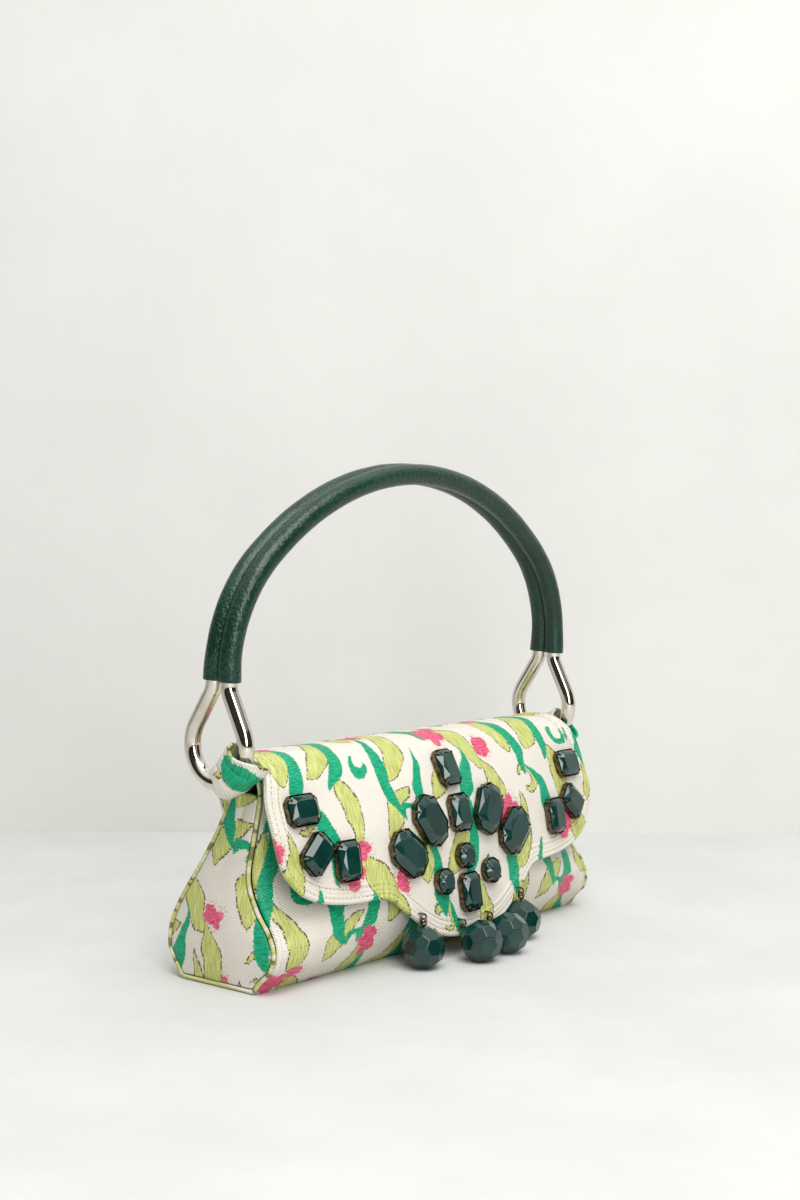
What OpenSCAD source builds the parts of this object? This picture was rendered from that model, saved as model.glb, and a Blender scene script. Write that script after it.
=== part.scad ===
// Jewelled brocade shoulder bag with a scalloped flap, hanging beads and a stiff leather handle.
// Millimetres. X runs along the bag, the flap faces -Y, Z is up.
// The origin is the middle of the flat base, on the surface that the bag stands on.

/* [Body] */
// Length of the body along its base, seam to seam
body_length = 252; // [210:1:300]
// Height of the mouth above the base
body_height = 102.5; // [90:0.5:120]
// Depth across the swollen lower corners
body_depth = 70; // [60:1:80]
// Depth of the flat base
base_depth = 48; // [36:1:54]
// How far each end leans inwards from base to mouth
end_lean = 8.5; // [4:0.5:12]
// How far each end panel swells outwards
gusset_swell = 3; // [0:0.5:5]
// Thickness of the interlined brocade
cloth_wall = 1.8; // [1.4:0.1:2.4]
// Diameter of the piping in the end seams
piping_d = 2.4; // [1.8:0.1:3]
// Thickness of the lining cloth
lining_wall = 0.6; // [0.4:0.1:1]
// Thickness of the stiff board over the base
board_wall = 1.5; // [1:0.1:2.5]

/* [Flap] */
// How far the flap's top fold stops short of each end of the body
flap_top_inset = 7; // [6:0.5:12]
// How far the flap's two lobes stop short of the body's ends
flap_inset = 0.5; // [0:0.5:6]
// Rise of the folded top above the mouth
flap_rise = 2.5; // [2:0.1:5]
// How far the lobes fall back from the middle
lobe_fall = 4; // [0:0.5:5]
// Thickness of the flap's outer brocade
flap_cloth = 1.4; // [1:0.1:2]
// Thickness of the flap's interfacing
interfacing_wall = 0.5; // [0.3:0.1:1]
// Width of the stitched band along the flap's edge
border_width = 8.5; // [6:0.5:9]
// Thickness of the stitched band
border_wall = 0.4; // [0.3:0.1:0.6]

/* [Stones] */
// Length of the small cut-corner stones
small_stone_length = 18; // [16:0.5:19]
// Width of the small cut-corner stones
small_stone_width = 13.5; // [11:0.5:14]
// Length of the large eight-sided stones
large_stone_length = 25; // [22:0.5:26]
// Width of the large eight-sided stones
large_stone_width = 18; // [16:0.5:19]
// Diameter of the round stones
round_stone_d = 12; // [10:0.5:13]
// Height of a stone above its seat
stone_height = 5.5; // [4.5:0.1:7]
// Height of the metal cup round each stone
cup_height = 3; // [2.4:0.1:4]
// Wall of the metal cup
cup_wall = 0.6; // [0.4:0.1:1]

/* [Beads] */
// Diameter of the faceted beads over their corners
bead_d = 21.3; // [19:0.1:23]
// Distance of the outer beads from the middle
outer_bead_x = 40; // [36:0.5:44]
// Gap between the two inner beads
inner_bead_gap = 0.6; // [0.4:0.1:4]
// Radius of the eye that each bead hangs by
eye_r = 1.6; // [1.4:0.1:2]
// Diameter of the eye's wire
eye_wire_d = 1; // [0.8:0.1:1.2]
// Length of wire between bead and eye
eye_shank = 0.8; // [0.6:0.1:2]

/* [Handle] */
// How far outside the body's ends the rings stand
ring_stand = 3; // [2:0.5:6]
// Radius of the handle's shoulders
shoulder_r = 69.5; // [56:0.5:80]
// Angle that each shoulder turns through
shoulder_angle = 47; // [40:1:55]
// How far the rings' legs reach into the leather
leg_depth = 5; // [5:0.5:12]
// Diameter of each of the two leather tubes
tube_d = 10.5; // [9.5:0.1:12]
// Distance between the tubes' middles
tube_pitch = 8.8; // [8.6:0.1:9.4]
// Forward lean of the standing handle, in degrees
handle_lean = 4; // [0:0.2:6]
// Diameter of the ring's rod
rod_d = 8; // [7:0.1:8]
// Radius of the ring's round bottom, at the rod's middle
ring_r = 17.5; // [15:0.5:20]
// Height of the rings' centres above the mouth
ring_rise = 10; // [8:0.5:16]
// Distance of the rings' centres in front of the base's middle
ring_front = 3; // [1:0.5:7]
// Thickness of the fabric loop round the rod
loop_wall = 2; // [1.4:0.1:2.6]

/* [Hidden] */
// Named clearances
seam_gap = 0.25;
run_gap = 0.3;
overrun = 1;
// Triangles of the round details
round_facets = 32;
piping_sides = 6;

// The body's cross-section from base to mouth, as [depth, height] shares of half body_depth and body_height.
// The middle of the bag is full, and its ends are pinched in above the lower corners.
front_middle_shares = [[-0.86, 0.045], [-1.05, 0.125], [-1.18, 0.24], [-1.2, 0.335], [-1.17, 0.44],
    [-1.11, 0.55], [-0.99, 0.72], [-0.76, 0.885], [-0.49, 1]];
front_end_shares = [[-0.78, 0.045], [-0.97, 0.11], [-1.02, 0.195], [-0.91, 0.28], [-0.66, 0.38],
    [-0.49, 0.51], [-0.56, 0.7], [-0.62, 0.875], [-0.5, 1]];
back_middle_shares = [[0.86, 0.045], [1.03, 0.135], [1.07, 0.24], [1.04, 0.335], [0.96, 0.43],
    [0.8, 0.55], [0.56, 0.72], [0.31, 0.885], [0.14, 1]];
back_end_shares = [[0.8, 0.045], [0.98, 0.13], [0.985, 0.24], [0.87, 0.335], [0.7, 0.43],
    [0.46, 0.55], [0.16, 0.72], [-0.03, 0.885], [0.08, 1]];
// How quickly the full middle gives way to the pinched ends
fullness_share = 2.4;

// The flap's inner face from the hinge to the tongue's tip, as [depth, height] shares of half body_depth
// and of the height of its top fold.
flap_profile_shares = [[0.143, 0.984], [0.043, 0.995], [-0.114, 1], [-0.314, 1], [-0.486, 0.99],
    [-0.629, 0.958], [-0.763, 0.906], [-0.877, 0.84], [-1, 0.746], [-1.094, 0.653], [-1.154, 0.535],
    [-1.209, 0.427], [-1.286, 0.282], [-1.377, 0.075]];
// The flap's lower edge, as [share of half its length, share of the top fold's height].
flap_edge_shares = [[0, 0.1], [0.07, 0.104], [0.14, 0.12], [0.22, 0.151], [0.3, 0.199], [0.37, 0.254],
    [0.42, 0.302], [0.475, 0.334], [0.56, 0.341], [0.68, 0.348], [0.8, 0.375], [0.89, 0.424], [0.95, 0.487],
    [0.985, 0.558], [1, 0.649]];
// Rows of the profile where the flap widens from its top fold to its lobes, and where the lobes fall back
widen_rows = [3.5, 7.5];
fall_rows = [5, 8];
// Shares of half the flap's length between which the lobes fall back
lobe_shares = [0.35, 0.92];
// Stones on each lobe as [share of a stone's length in from the band, share of the fold's height, turn in degrees]
lobe_stone_shares = [[0.58, 0.776, 90], [0.79, 0.594, 48], [1.84, 0.542, 0]];
// Other stones as [share of half the flap's length, share of the fold's height, turn in degrees]
middle_stone_shares = [[0, 0.851, 0], [0, 0.655, 0], [0, 0.285, 0]];
large_stone_shares = [[-0.19, 0.645, 30], [-0.343, 0.521, 50], [0.19, 0.645, -30], [0.343, 0.521, -50]];
round_stone_shares = [[-0.152, 0.352, 0], [0.152, 0.352, 0], [0, 0.452, 0]];
// Corner cut and table of the stones, as shares of their width
small_cut_share = 0.2;
large_cut_share = 0.3;
table_share = 0.6;
girdle_share = 0.45;
prong_share = 0.8;
// Rows and columns of the body's and flap's curved panels
body_steps = 12;
body_rows = 9;
across_shares = [-1, -0.97, -0.92, -0.84, -0.72, -0.54, -0.28, 0, 0.28, 0.54, 0.72, 0.84, 0.92, 0.97, 1];
gusset_rows = 8;
flap_steps = 14;

// Sizes of small pieces
thread_d = 0.9;
link_r = 2;
prong_d = 1.4;
snap_d = 12;
snap_height = 1;
snap_bore_d = 6.4;
snap_stud_d = 10;
snap_stud_wall = 0.5;
snap_nub_d = 4;
snap_nub_height = 0.9;
snap_height_share = 0.285;
loop_angle = 76;
loop_tail_drop = 9;
loop_width = 19;
// The loop's tail, from its back top corner round to its front one, as [share of loop_width, share of drop]
tail_shares = [[0.5, 0], [0.5, 0.3], [0.1, 0.55], [-0.12, 1], [-0.38, 1], [-0.5, 0.6], [-0.5, 0]];
tail_swell_share = 0.35;
pocket_rows = [4:10];
pocket_columns = [5:9];
lining_start_share = 0.4;
lining_base_share = 0.5;
fine_facets = 24;
reverse_r = 10;
ring_side_angle = 30;
core_fit = 0.15;
lap_length = 0.5;
lap_step = 0.05;
edge_top_shares = [0.93, 0.86, 0.78, 0.71];
inner_eye_share = 0.39;

// Worked out from the sizes above
half_length = body_length/2;
half_depth = body_depth/2;
half_base = base_depth/2;
piping_r = piping_d/2;
top_fold_z = body_height + flap_rise;
flap_half = half_length - flap_inset;
flap_top_half = half_length - flap_top_inset;
layer_gap = seam_gap/2;
interfacing_at = lining_wall + layer_gap;
cloth_at = interfacing_at + interfacing_wall + layer_gap;
flap_skin = cloth_at + flap_cloth;
border_at = flap_skin + run_gap;
border_skin = border_at + border_wall;
stone_seat = border_at + layer_gap;
bead_r = bead_d/2;
// Distance from a bead's middle to its six-sided and five-sided facets, as shares of its corner radius
hexagon_share = 0.9149;
pentagon_share = 0.9393;
bead_rest_z = bead_r*pentagon_share;
eye_reach = bead_rest_z + eye_shank + eye_r;
inner_bead_x = bead_r + inner_bead_gap/2;
eye_wire_r = eye_wire_d/2;
handle_x = half_length + ring_stand;
ring_centre_z = body_height + ring_rise;
rod_r = rod_d/2;
bore_r = rod_r + core_fit + lap_step;
core_r = rod_r - lap_step;
tube_r = tube_d/2;
shoulder_x = handle_x - shoulder_r;
crown_r = shoulder_x/cos(shoulder_angle) + shoulder_r;
crown_drop = shoulder_x*tan(shoulder_angle);
loop_bore_r = rod_r + run_gap;
loop_outer_r = loop_bore_r + loop_wall;
gusset_seam = piping_d + 3*run_gap;

// Curves and curved panels

function mix(a, b, t) = a + (b - a)*t;
function clamped(t) = min(1, max(0, t));
function eased(t) = let (u = clamped(t)) u*u*(3 - 2*u);
function at_row(list, i) = list[min(len(list) - 1, max(0, i))];

// A smooth curve through a list of points, at row t
function along(list, t) =
    let (i = min(floor(t), len(list) - 2), u = t - i,
         a = at_row(list, i - 1), b = at_row(list, i), c = at_row(list, i + 1), d = at_row(list, i + 2))
    b + 0.5*u*((c - a) + u*((2*a - 5*b + 4*c - d) + u*(3*(b - c) + d - a)));

function unit(v) = v/norm(v);

// The outward side of a grid of points at one row and column
function grid_side(grid, r, c) =
    let (rows = len(grid) - 1, columns = len(grid[0]) - 1,
         up = grid[min(r + 1, rows)][c] - grid[max(r - 1, 0)][c],
         over = grid[r][min(c + 1, columns)] - grid[r][max(c - 1, 0)])
    unit(cross(over, up));

// The same grid moved along its outward side
function moved(grid, distance) =
    [for (r = [0:len(grid) - 1]) [for (c = [0:len(grid[0]) - 1]) grid[r][c] + distance*grid_side(grid, r, c)]];

function part_of(grid, rows, columns) = [for (r = rows) [for (c = columns) grid[r][c]]];

// A solid sheet between an outer and an inner grid of the same rows and columns
module sheet(outer, inner) {
    rows = len(outer);
    columns = len(outer[0]);
    total = rows*columns;
    function id(r, c) = r*columns + c;
    points = concat([for (row = outer) each row], [for (row = inner) each row]);
    skins = [for (r = [0:rows - 2], c = [0:columns - 2])
        each [[id(r, c), id(r + 1, c), id(r + 1, c + 1)], [id(r, c), id(r + 1, c + 1), id(r, c + 1)],
            [total + id(r, c), total + id(r + 1, c + 1), total + id(r + 1, c)],
            [total + id(r, c), total + id(r, c + 1), total + id(r + 1, c + 1)]]];
    rim = concat([for (c = [0:columns - 2]) [id(0, c), id(0, c + 1)]],
        [for (r = [0:rows - 2]) [id(r, columns - 1), id(r + 1, columns - 1)]],
        [for (c = [columns - 1:-1:1]) [id(rows - 1, c), id(rows - 1, c - 1)]],
        [for (r = [rows - 1:-1:1]) [id(r, 0), id(r - 1, 0)]]);
    walls = [for (e = rim) each [[e[0], e[1], total + e[1]], [e[0], total + e[1], total + e[0]]]];
    polyhedron(points, concat(skins, walls));
}

// A round cord along a list of points, whose rings stand square to it
module cord(path, r, sides) {
    last = len(path) - 1;
    rings = [for (i = [0:last])
        let (way = unit(path[min(i + 1, last)] - path[max(i - 1, 0)]), across = unit(cross(way, [1, 0, 0])),
             up = cross(across, way))
        [for (k = [0:sides - 1]) path[i] + r*(cos(360*k/sides)*across + sin(360*k/sides)*up)]];
    function id(i, k) = i*sides + k%sides;
    skin = [for (i = [0:last - 1], k = [0:sides - 1])
        each [[id(i, k), id(i + 1, k), id(i + 1, k + 1)], [id(i, k), id(i + 1, k + 1), id(i, k + 1)]]];
    caps = [[for (k = [0:sides - 1]) k], [for (k = [sides - 1:-1:0]) id(last, k)]];
    polyhedron([for (ring = rings) each ring], concat(skin, caps));
}

// The body

function section(shares, side) =
    concat([[side*half_base, 0]], [for (s = shares) [s[0]*half_depth, s[1]*body_height]]);
front_middle = section(front_middle_shares, -1);
front_end = section(front_end_shares, -1);
back_middle = section(back_middle_shares, 1);
back_end = section(back_end_shares, 1);

function end_x(z) = half_length - end_lean*z/body_height;

// A point of the body's outer face: share q of its length, row t of its section
function skin_point(middle, end, q, t) =
    let (p = mix(along(middle, t), along(end, t), pow(abs(q), fullness_share))) [q*end_x(p[1]), p[0], p[1]];
function body_grid(middle, end) =
    [for (i = [0:body_steps]) [for (q = across_shares) skin_point(middle, end, q, body_rows*i/body_steps)]];
front_grid = body_grid(front_middle, front_end);
back_grid = [for (row = body_grid(back_middle, back_end)) [for (c = [len(row) - 1:-1:0]) row[c]]];

module front_panel() color("beige") sheet(front_grid, moved(front_grid, -cloth_wall));
module back_panel() color("beige") sheet(back_grid, moved(back_grid, -cloth_wall));

// The linings hang inside the panels and start a little above the base
lining_at = cloth_wall + seam_gap;
lining_skin = lining_at + lining_wall;
function raised(grid) = concat([mix(grid[0], grid[1], lining_start_share)], [for (r = [1:len(grid) - 1]) grid[r]]);
module lining(grid) sheet(raised(moved(grid, -lining_at)), raised(moved(grid, -lining_skin)));
module lining_front() color("darkseagreen") lining(front_grid);
module lining_back() color("darkseagreen") lining(back_grid);

// Room that the sloping foot of a panel takes beside the base
foot_way = unit(front_end[1] - front_end[0]);
foot_in = cloth_wall*foot_way[1];
lining_foot_in = lining_skin*foot_way[1];

module slab(length, depth, height, at) {
    translate([-length/2, -depth/2, at]) cube([length, depth, height]);
}

base_panel_depth = base_depth - 2*(foot_in + seam_gap);
board_depth = base_depth - 2*(lining_foot_in + run_gap);
lining_base_depth = mix(board_depth, base_depth, lining_base_share);
inner_length = body_length - 2*lining_skin;
module base_panel() color("beige") slab(body_length, base_panel_depth, cloth_wall, 0);
module base_board() color("tan") slab(inner_length, board_depth, board_wall, cloth_wall + seam_gap);
board_top = cloth_wall + seam_gap + board_wall;
module lining_base() color("darkseagreen") slab(inner_length, lining_base_depth, lining_wall, board_top + seam_gap);

// A point of an end seam, moved in from the outline in its own plane
function seam_point(end, side, t, inset) =
    let (step = 0.1, last = body_rows, here = along(end, t),
         way = unit(along(end, min(t + step, last)) - along(end, max(t - step, 0))))
    here + inset*[-side*way[1], side*way[0]];

// The end panel lies inside the ring of piping and swells outwards
function gusset_grid(hand) =
    let (columns = 6, rows = gusset_rows, inset = gusset_seam)
    [for (t = [0:rows]) let (f = seam_point(front_end, -1, t, inset), b = seam_point(back_end, 1, t, inset),
        low = piping_d + 2*seam_gap)
        [for (c = [0:columns])
            let (p = mix(f, b, hand > 0 ? c/columns : 1 - c/columns), z = max(p[1], low),
                 swell = gusset_swell*sin(180*c/columns)*sin(180*t/rows))
            [hand*(end_x(z) + seam_gap + cloth_wall + swell), p[0], z]]];
module gusset(hand) sheet(gusset_grid(hand), moved(gusset_grid(hand), -cloth_wall));
module gusset_lining(hand) sheet(moved(gusset_grid(hand), -lining_at), moved(gusset_grid(hand), -lining_skin));
module gusset_left() color("beige") gusset(-1);
module gusset_right() color("beige") gusset(1);
module lining_left() color("darkseagreen") gusset_lining(-1);
module lining_right() color("darkseagreen") gusset_lining(1);

// Piping from the front of the mouth, down, under the end panel and up its back
piping_inset = piping_r;
piping_step = 0.6;
function piping_spot(end, side, t, hand) =
    let (p = seam_point(end, side, t, piping_inset), z = max(p[1], piping_r + layer_gap))
    [hand*(end_x(z) + piping_r + seam_gap), p[0], z];
function piping_path(hand) = concat(
    [for (t = [body_rows:-piping_step:0]) piping_spot(front_end, -1, t, hand)],
    [for (t = [0:piping_step:body_rows]) piping_spot(back_end, 1, t, hand)]);
module piping_left() color("yellowgreen") cord(piping_path(-1), piping_r, piping_sides);
module piping_right() color("yellowgreen") cord(piping_path(1), piping_r, piping_sides);

// A flat pocket sewn to the back lining
pocket_at = lining_skin + seam_gap;
module slip_pocket() color("darkseagreen") sheet(part_of(moved(back_grid, -pocket_at), pocket_rows, pocket_columns),
    part_of(moved(back_grid, -pocket_at - lining_wall), pocket_rows, pocket_columns));

// The flap

flap_profile = [for (s = flap_profile_shares) [s[0]*half_depth, s[1]*top_fold_z]];
// Row of the profile at which the front of the flap reaches height z
falling = [for (i = [len(flap_profile) - 1:-1:2]) [flap_profile[i][1], i]];
function flap_row(z) = lookup(z, falling);
function between(rows, t) = eased((t - rows[0])/(rows[1] - rows[0]));

// A point of the flap's inner face: share q of its length, row t of its profile
function flap_point(q, t) =
    let (p = along(flap_profile, t), half = mix(flap_top_half, flap_half, between(widen_rows, t)),
         back = lobe_fall*between(fall_rows, t)*between(lobe_shares, abs(q)))
    [q*half, p[0] + back, p[1]];

flap_columns = concat([for (i = [len(flap_edge_shares) - 1:-1:1]) let (s = flap_edge_shares[i]) [-s[0], s[1]]],
    flap_edge_shares);
flap_grid = [for (j = [flap_steps:-1:0])
    [for (e = flap_columns) flap_point(e[0], flap_row(e[1]*top_fold_z)*j/flap_steps)]];
last_column = len(flap_columns) - 1;

module flap() color("beige") sheet(moved(flap_grid, flap_skin), moved(flap_grid, cloth_at));
module flap_lining() color("darkseagreen") sheet(moved(flap_grid, lining_wall), flap_grid);
module flap_interfacing() color("gainsboro") {
    rows = [1:flap_steps - 1];
    columns = [1:last_column - 1];
    sheet(part_of(moved(flap_grid, interfacing_at + interfacing_wall), rows, columns),
        part_of(moved(flap_grid, interfacing_at), rows, columns));
}

// The flap's outer face at a place given in shares, with its outward side
function flap_place(share) =
    let (q = share[0], t = flap_row(share[1]*top_fold_z), step = 0.2, dq = 0.02,
         here = flap_point(q, t), up = flap_point(q, t - step) - flap_point(q, t + step),
         over = flap_point(q + dq, t) - flap_point(q - dq, t))
    [here, unit(cross(over, up))];
function flap_above(share, distance) = let (place = flap_place(share)) place[0] + distance*place[1];

// The stitched band follows the flap's edge, a border_width in from it
edge_line = concat([for (z = edge_top_shares) [-1, z]], flap_columns,
    [for (i = [len(edge_top_shares) - 1:-1:0]) [1, edge_top_shares[i]]]);
function edge_flat(i) = let (s = at_row(edge_line, i)) [s[0]*flap_half, s[1]*top_fold_z];
function edge_inner(i) =
    let (way = unit(edge_flat(i + 1) - edge_flat(i - 1)), p = edge_flat(i) + border_width*[-way[1], way[0]])
    [p[0]/flap_half, p[1]/top_fold_z];
module flap_border() color("khaki") {
    count = len(edge_line);
    top = [for (k = [0, 0.5, 1]) [for (i = [0:count - 1])
        flap_above(mix(edge_line[i], edge_inner(i), k), border_skin)]];
    low = [for (k = [0, 0.5, 1]) [for (i = [0:count - 1])
        flap_above(mix(edge_line[i], edge_inner(i), k), border_at)]];
    sheet([for (k = [2:-1:0]) top[k]], [for (k = [2:-1:0]) low[k]]);
}

// Stones and their cups, each drawn flat and then seated on the flap

function cut_oblong(length, width, cut, grow) =
    let (x = width/2 + grow, y = length/2 + grow, c = cut + grow*tan(45/2))
    [[x, c - y], [x, y - c], [x - c, y], [c - x, y], [-x, y - c], [-x, c - y], [c - x, -y], [x - c, -y]];

// Stands its children square to the flap, at a distance from the flap's inner face
module seated(share, distance) {
    place = flap_place(share);
    side = place[1];
    translate(place[0] + distance*side) rotate([acos(side[2]), 0, atan2(side[0], -side[1])])
        rotate([0, 0, share[2]]) children();
}
module on_flap(share) seated(share, stone_seat) children();

module cut_stone(length, width, cut) {
    girdle = stone_height*girdle_share;
    flat = table_share;
    hull() {
        translate([0, 0, cup_wall + layer_gap]) linear_extrude(girdle) polygon(cut_oblong(length, width, cut, 0));
        translate([0, 0, stone_height - layer_gap]) linear_extrude(layer_gap)
            polygon(cut_oblong(length - width*(1 - flat), width*flat, cut*flat, 0));
    }
}

module cut_setting(length, width, cut) {
    difference() {
        union() {
            linear_extrude(cup_height) polygon(cut_oblong(length, width, cut, layer_gap + cup_wall));
            for (x = [-1, 1], y = [-1, 1])
                translate([x*(width - cut)/2, y*(length - cut)/2, 0])
                    cylinder(h = stone_height*prong_share, d = prong_d + cut/2, $fn = round_facets);
        }
        translate([0, 0, cup_wall]) linear_extrude(stone_height) polygon(cut_oblong(length, width, cut, layer_gap));
    }
}

band_in = flap_half - border_width;
small_stone_places = concat(middle_stone_shares, [for (s = lobe_stone_shares, hand = [-1, 1])
    [hand*(band_in - s[0]*small_stone_length)/flap_half, s[1], hand*s[2]]]);
module small_stones() color("darkslategray") for (s = small_stone_places)
    on_flap(s) cut_stone(small_stone_length, small_stone_width, small_stone_width*small_cut_share);
module small_settings() color("darkgoldenrod") for (s = small_stone_places)
    on_flap(s) cut_setting(small_stone_length, small_stone_width, small_stone_width*small_cut_share);
module large_stones() color("darkslategray") for (s = large_stone_shares)
    on_flap(s) cut_stone(large_stone_length, large_stone_width, large_stone_width*large_cut_share);
module large_settings() color("darkgoldenrod") for (s = large_stone_shares)
    on_flap(s) cut_setting(large_stone_length, large_stone_width, large_stone_width*large_cut_share);

module round_stones() color("darkslategray") for (s = round_stone_shares) on_flap(s) {
    r = round_stone_d/2;
    girdle = cup_wall + layer_gap + stone_height*girdle_share;
    translate([0, 0, cup_wall + layer_gap]) cylinder(h = stone_height*girdle_share, r = r, $fn = round_facets);
    translate([0, 0, girdle]) cylinder(h = stone_height - girdle, r1 = r, r2 = r*table_share, $fn = round_facets);
}
module round_settings() color("darkgoldenrod") for (s = round_stone_shares) on_flap(s) difference() {
    cylinder(h = cup_height, d = round_stone_d + 2*(cup_wall + layer_gap), $fn = round_facets);
    translate([0, 0, cup_wall]) cylinder(h = stone_height, d = round_stone_d + 2*layer_gap, $fn = round_facets);
}

// A snap under the tongue: the socket on the front panel and the stud on the flap's lining

snap_z = snap_height_share*body_height;
snap_row = lookup(snap_z, [for (i = [0:len(front_middle) - 1]) [front_middle[i][1], i]]);
socket_y = along(front_middle, snap_row)[0] - seam_gap;
module snap_socket() color("silver") translate([0, socket_y, snap_z]) rotate([90, 0, 0]) difference() {
    cylinder(h = snap_height, d = snap_d, $fn = round_facets);
    translate([0, 0, snap_height/2]) cylinder(h = snap_height, d = snap_bore_d, $fn = round_facets);
}
module snap_stud() color("silver") seated([0, snap_z/top_fold_z, 0], -seam_gap) mirror([0, 0, 1]) {
    cylinder(h = snap_stud_wall, d = snap_stud_d, $fn = round_facets);
    translate([0, 0, snap_stud_wall]) cylinder(h = snap_nub_height, d = snap_nub_d, $fn = round_facets);
}

// Beads, their eyes and the links that hold them

function edge_share(x) = let (q = x/flap_half) [q, lookup(abs(q), flap_edge_shares)];
// The middle of a bead's eye, just in front of the flap's edge, and the bead's middle below it
eye_stand = border_skin + eye_r + eye_wire_r + run_gap;
function eye_y(x) = flap_above(edge_share(x), eye_stand)[1];
outer_eye_z = bead_rest_z + eye_reach;
// The inner beads rest on the ground in front of the tongue, swung forward about their eyes
inner_eye_z = bead_rest_z + inner_eye_share*eye_reach;
inner_swing = acos(inner_eye_share);
function outer_eye(hand) = [hand*outer_bead_x, eye_y(outer_bead_x), outer_eye_z];
function inner_eye(hand) = [hand*inner_bead_x, eye_y(inner_bead_x), inner_eye_z];

// A solid with twelve five-sided and twenty six-sided facets, standing on a five-sided one
module five_six_facets() {
    golden = (1 + sqrt(5))/2;
    fives = [for (a = [-1, 1], b = [-golden, golden]) each [[0, a, b], [a, b, 0], [b, 0, a]]];
    sixes = concat([for (a = [-1, 1], b = [-1, 1], c = [-1, 1]) [a, b, c]],
        [for (a = [-golden, golden], b = [-1, 1]/golden) each [[0, a, b], [a, b, 0], [b, 0, a]]]);
    facets = concat([for (v = fives) [unit(v), pentagon_share]], [for (v = sixes) [unit(v), hexagon_share]]);
    block = 2*bead_d;
    rotate([atan2(1, golden), 0, 0]) intersection_for(f = facets)
        rotate([0, acos(f[0][2]), atan2(f[0][1], f[0][0])])
            translate([-bead_d, -bead_d, bead_r*f[1] - block]) cube(block);
}

// A bead with its eye at the origin, hanging straight down
module hung_bead() translate([0, 0, -eye_reach]) difference() {
    five_six_facets();
    translate([0, 0, bead_rest_z - eye_shank]) cylinder(h = bead_r, r = eye_wire_r + core_fit, $fn = fine_facets);
}
module bead_eye() {
    rotate([0, 90, 0]) rotate_extrude($fn = fine_facets)
        translate([eye_r, 0]) circle(r = eye_wire_r, $fn = fine_facets);
    translate([0, 0, -eye_r - 1.5*eye_shank]) cylinder(h = 1.5*eye_shank, r = eye_wire_r, $fn = fine_facets);
}
module at_outer(hand) translate(outer_eye(hand)) children();
module at_inner(hand) translate(inner_eye(hand)) rotate([-inner_swing, 0, 0]) children();
module bead_outer_left() color("darkslategray") at_outer(-1) hung_bead();
module bead_inner_left() color("darkslategray") at_inner(-1) hung_bead();
module bead_inner_right() color("darkslategray") at_inner(1) hung_bead();
module bead_outer_right() color("darkslategray") at_outer(1) hung_bead();
module eye_outer_left() color("darkgoldenrod") at_outer(-1) bead_eye();
module eye_inner_left() color("darkgoldenrod") at_inner(-1) bead_eye();
module eye_inner_right() color("darkgoldenrod") at_inner(1) bead_eye();
module eye_outer_right() color("darkgoldenrod") at_outer(1) bead_eye();

// A link through each eye, with a stay back to the flap's stitched band
module link(eye) {
    thread_r = thread_d/2;
    stay_z = eye[2] + 2*link_r;
    band_y = flap_above([eye[0]/flap_half, stay_z/top_fold_z], border_skin)[1];
    translate([eye[0], eye[1], eye[2] + link_r]) rotate([90, 0, 0]) rotate_extrude($fn = fine_facets)
        translate([link_r, 0]) circle(r = thread_r, $fn = fine_facets);
    translate([eye[0], eye[1], stay_z]) rotate([-90, 0, 0])
        cylinder(h = band_y - eye[1] - run_gap, r = thread_r, $fn = fine_facets);
}
module bead_links() color("darkgoldenrod") for (hand = [-1, 1]) {
    link(outer_eye(hand));
    link(inner_eye(hand));
}

// The handle, drawn upright with the rings' centres on the X axis, and then leaned forward

module handle_place() translate([0, -ring_front, ring_centre_z]) rotate([handle_lean, 0, 0]) children();

// A ring's side stretches close in and turn up into the leather as two legs
leg_y = tube_pitch/2;
side_y = ring_r*cos(ring_side_angle);
side_z = ring_r*sin(ring_side_angle);
bend_y = reverse_r*(1 - cos(ring_side_angle));
straight = (side_y - leg_y - bend_y)/sin(ring_side_angle);
leg_z = side_z + straight*cos(ring_side_angle) + reverse_r*sin(ring_side_angle);
leather_z = leg_z + seam_gap;
shoulder_z = leather_z + leg_depth;

// Sweeps a section, drawn as [outwards, along Y], round the handle's crown or its two shoulders.
// The thicker of two neighbours runs a lap over the thinner one.
module crown_sweep() translate([0, 0, shoulder_z - crown_drop]) rotate([90, 0, 0]) rotate([0, 0, shoulder_angle])
    rotate_extrude(angle = 180 - 2*shoulder_angle, $fn = 4*round_facets) translate([crown_r, 0]) children();
module shoulder_sweep() for (hand = [0, 1]) mirror([hand, 0, 0]) translate([shoulder_x, 0, shoulder_z])
    rotate([90, 0, 0]) rotate_extrude(angle = shoulder_angle + lap_length*360/(2*PI*shoulder_r), $fn = 4*round_facets)
        translate([shoulder_r, 0]) children();

// Two leather tubes side by side, fused along their seam
module tube_pair(grow) difference() {
    for (side = [-1, 1]) translate([0, side*leg_y]) circle(r = tube_r + grow, $fn = round_facets);
    for (side = [-1, 1]) translate([0, side*leg_y]) circle(r = bore_r - grow, $fn = round_facets);
}
module handle_cover() color("darkgreen") handle_place() {
    crown_sweep() tube_pair(0);
    shoulder_sweep() tube_pair(lap_step);
    for (hand = [-1, 1]) translate([hand*handle_x, 0, leather_z])
        linear_extrude(leg_depth + lap_length) tube_pair(2*lap_step);
}

// A cord core fills each tube between the rings' legs
module core_section(side, grow) translate([0, side*leg_y]) circle(r = core_r + grow, $fn = round_facets);
module handle_core(side) handle_place() {
    crown_sweep() core_section(side, 0);
    shoulder_sweep() core_section(side, lap_step);
}
module handle_core_front() color("wheat") handle_core(1);
module handle_core_back() color("wheat") handle_core(-1);

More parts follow.
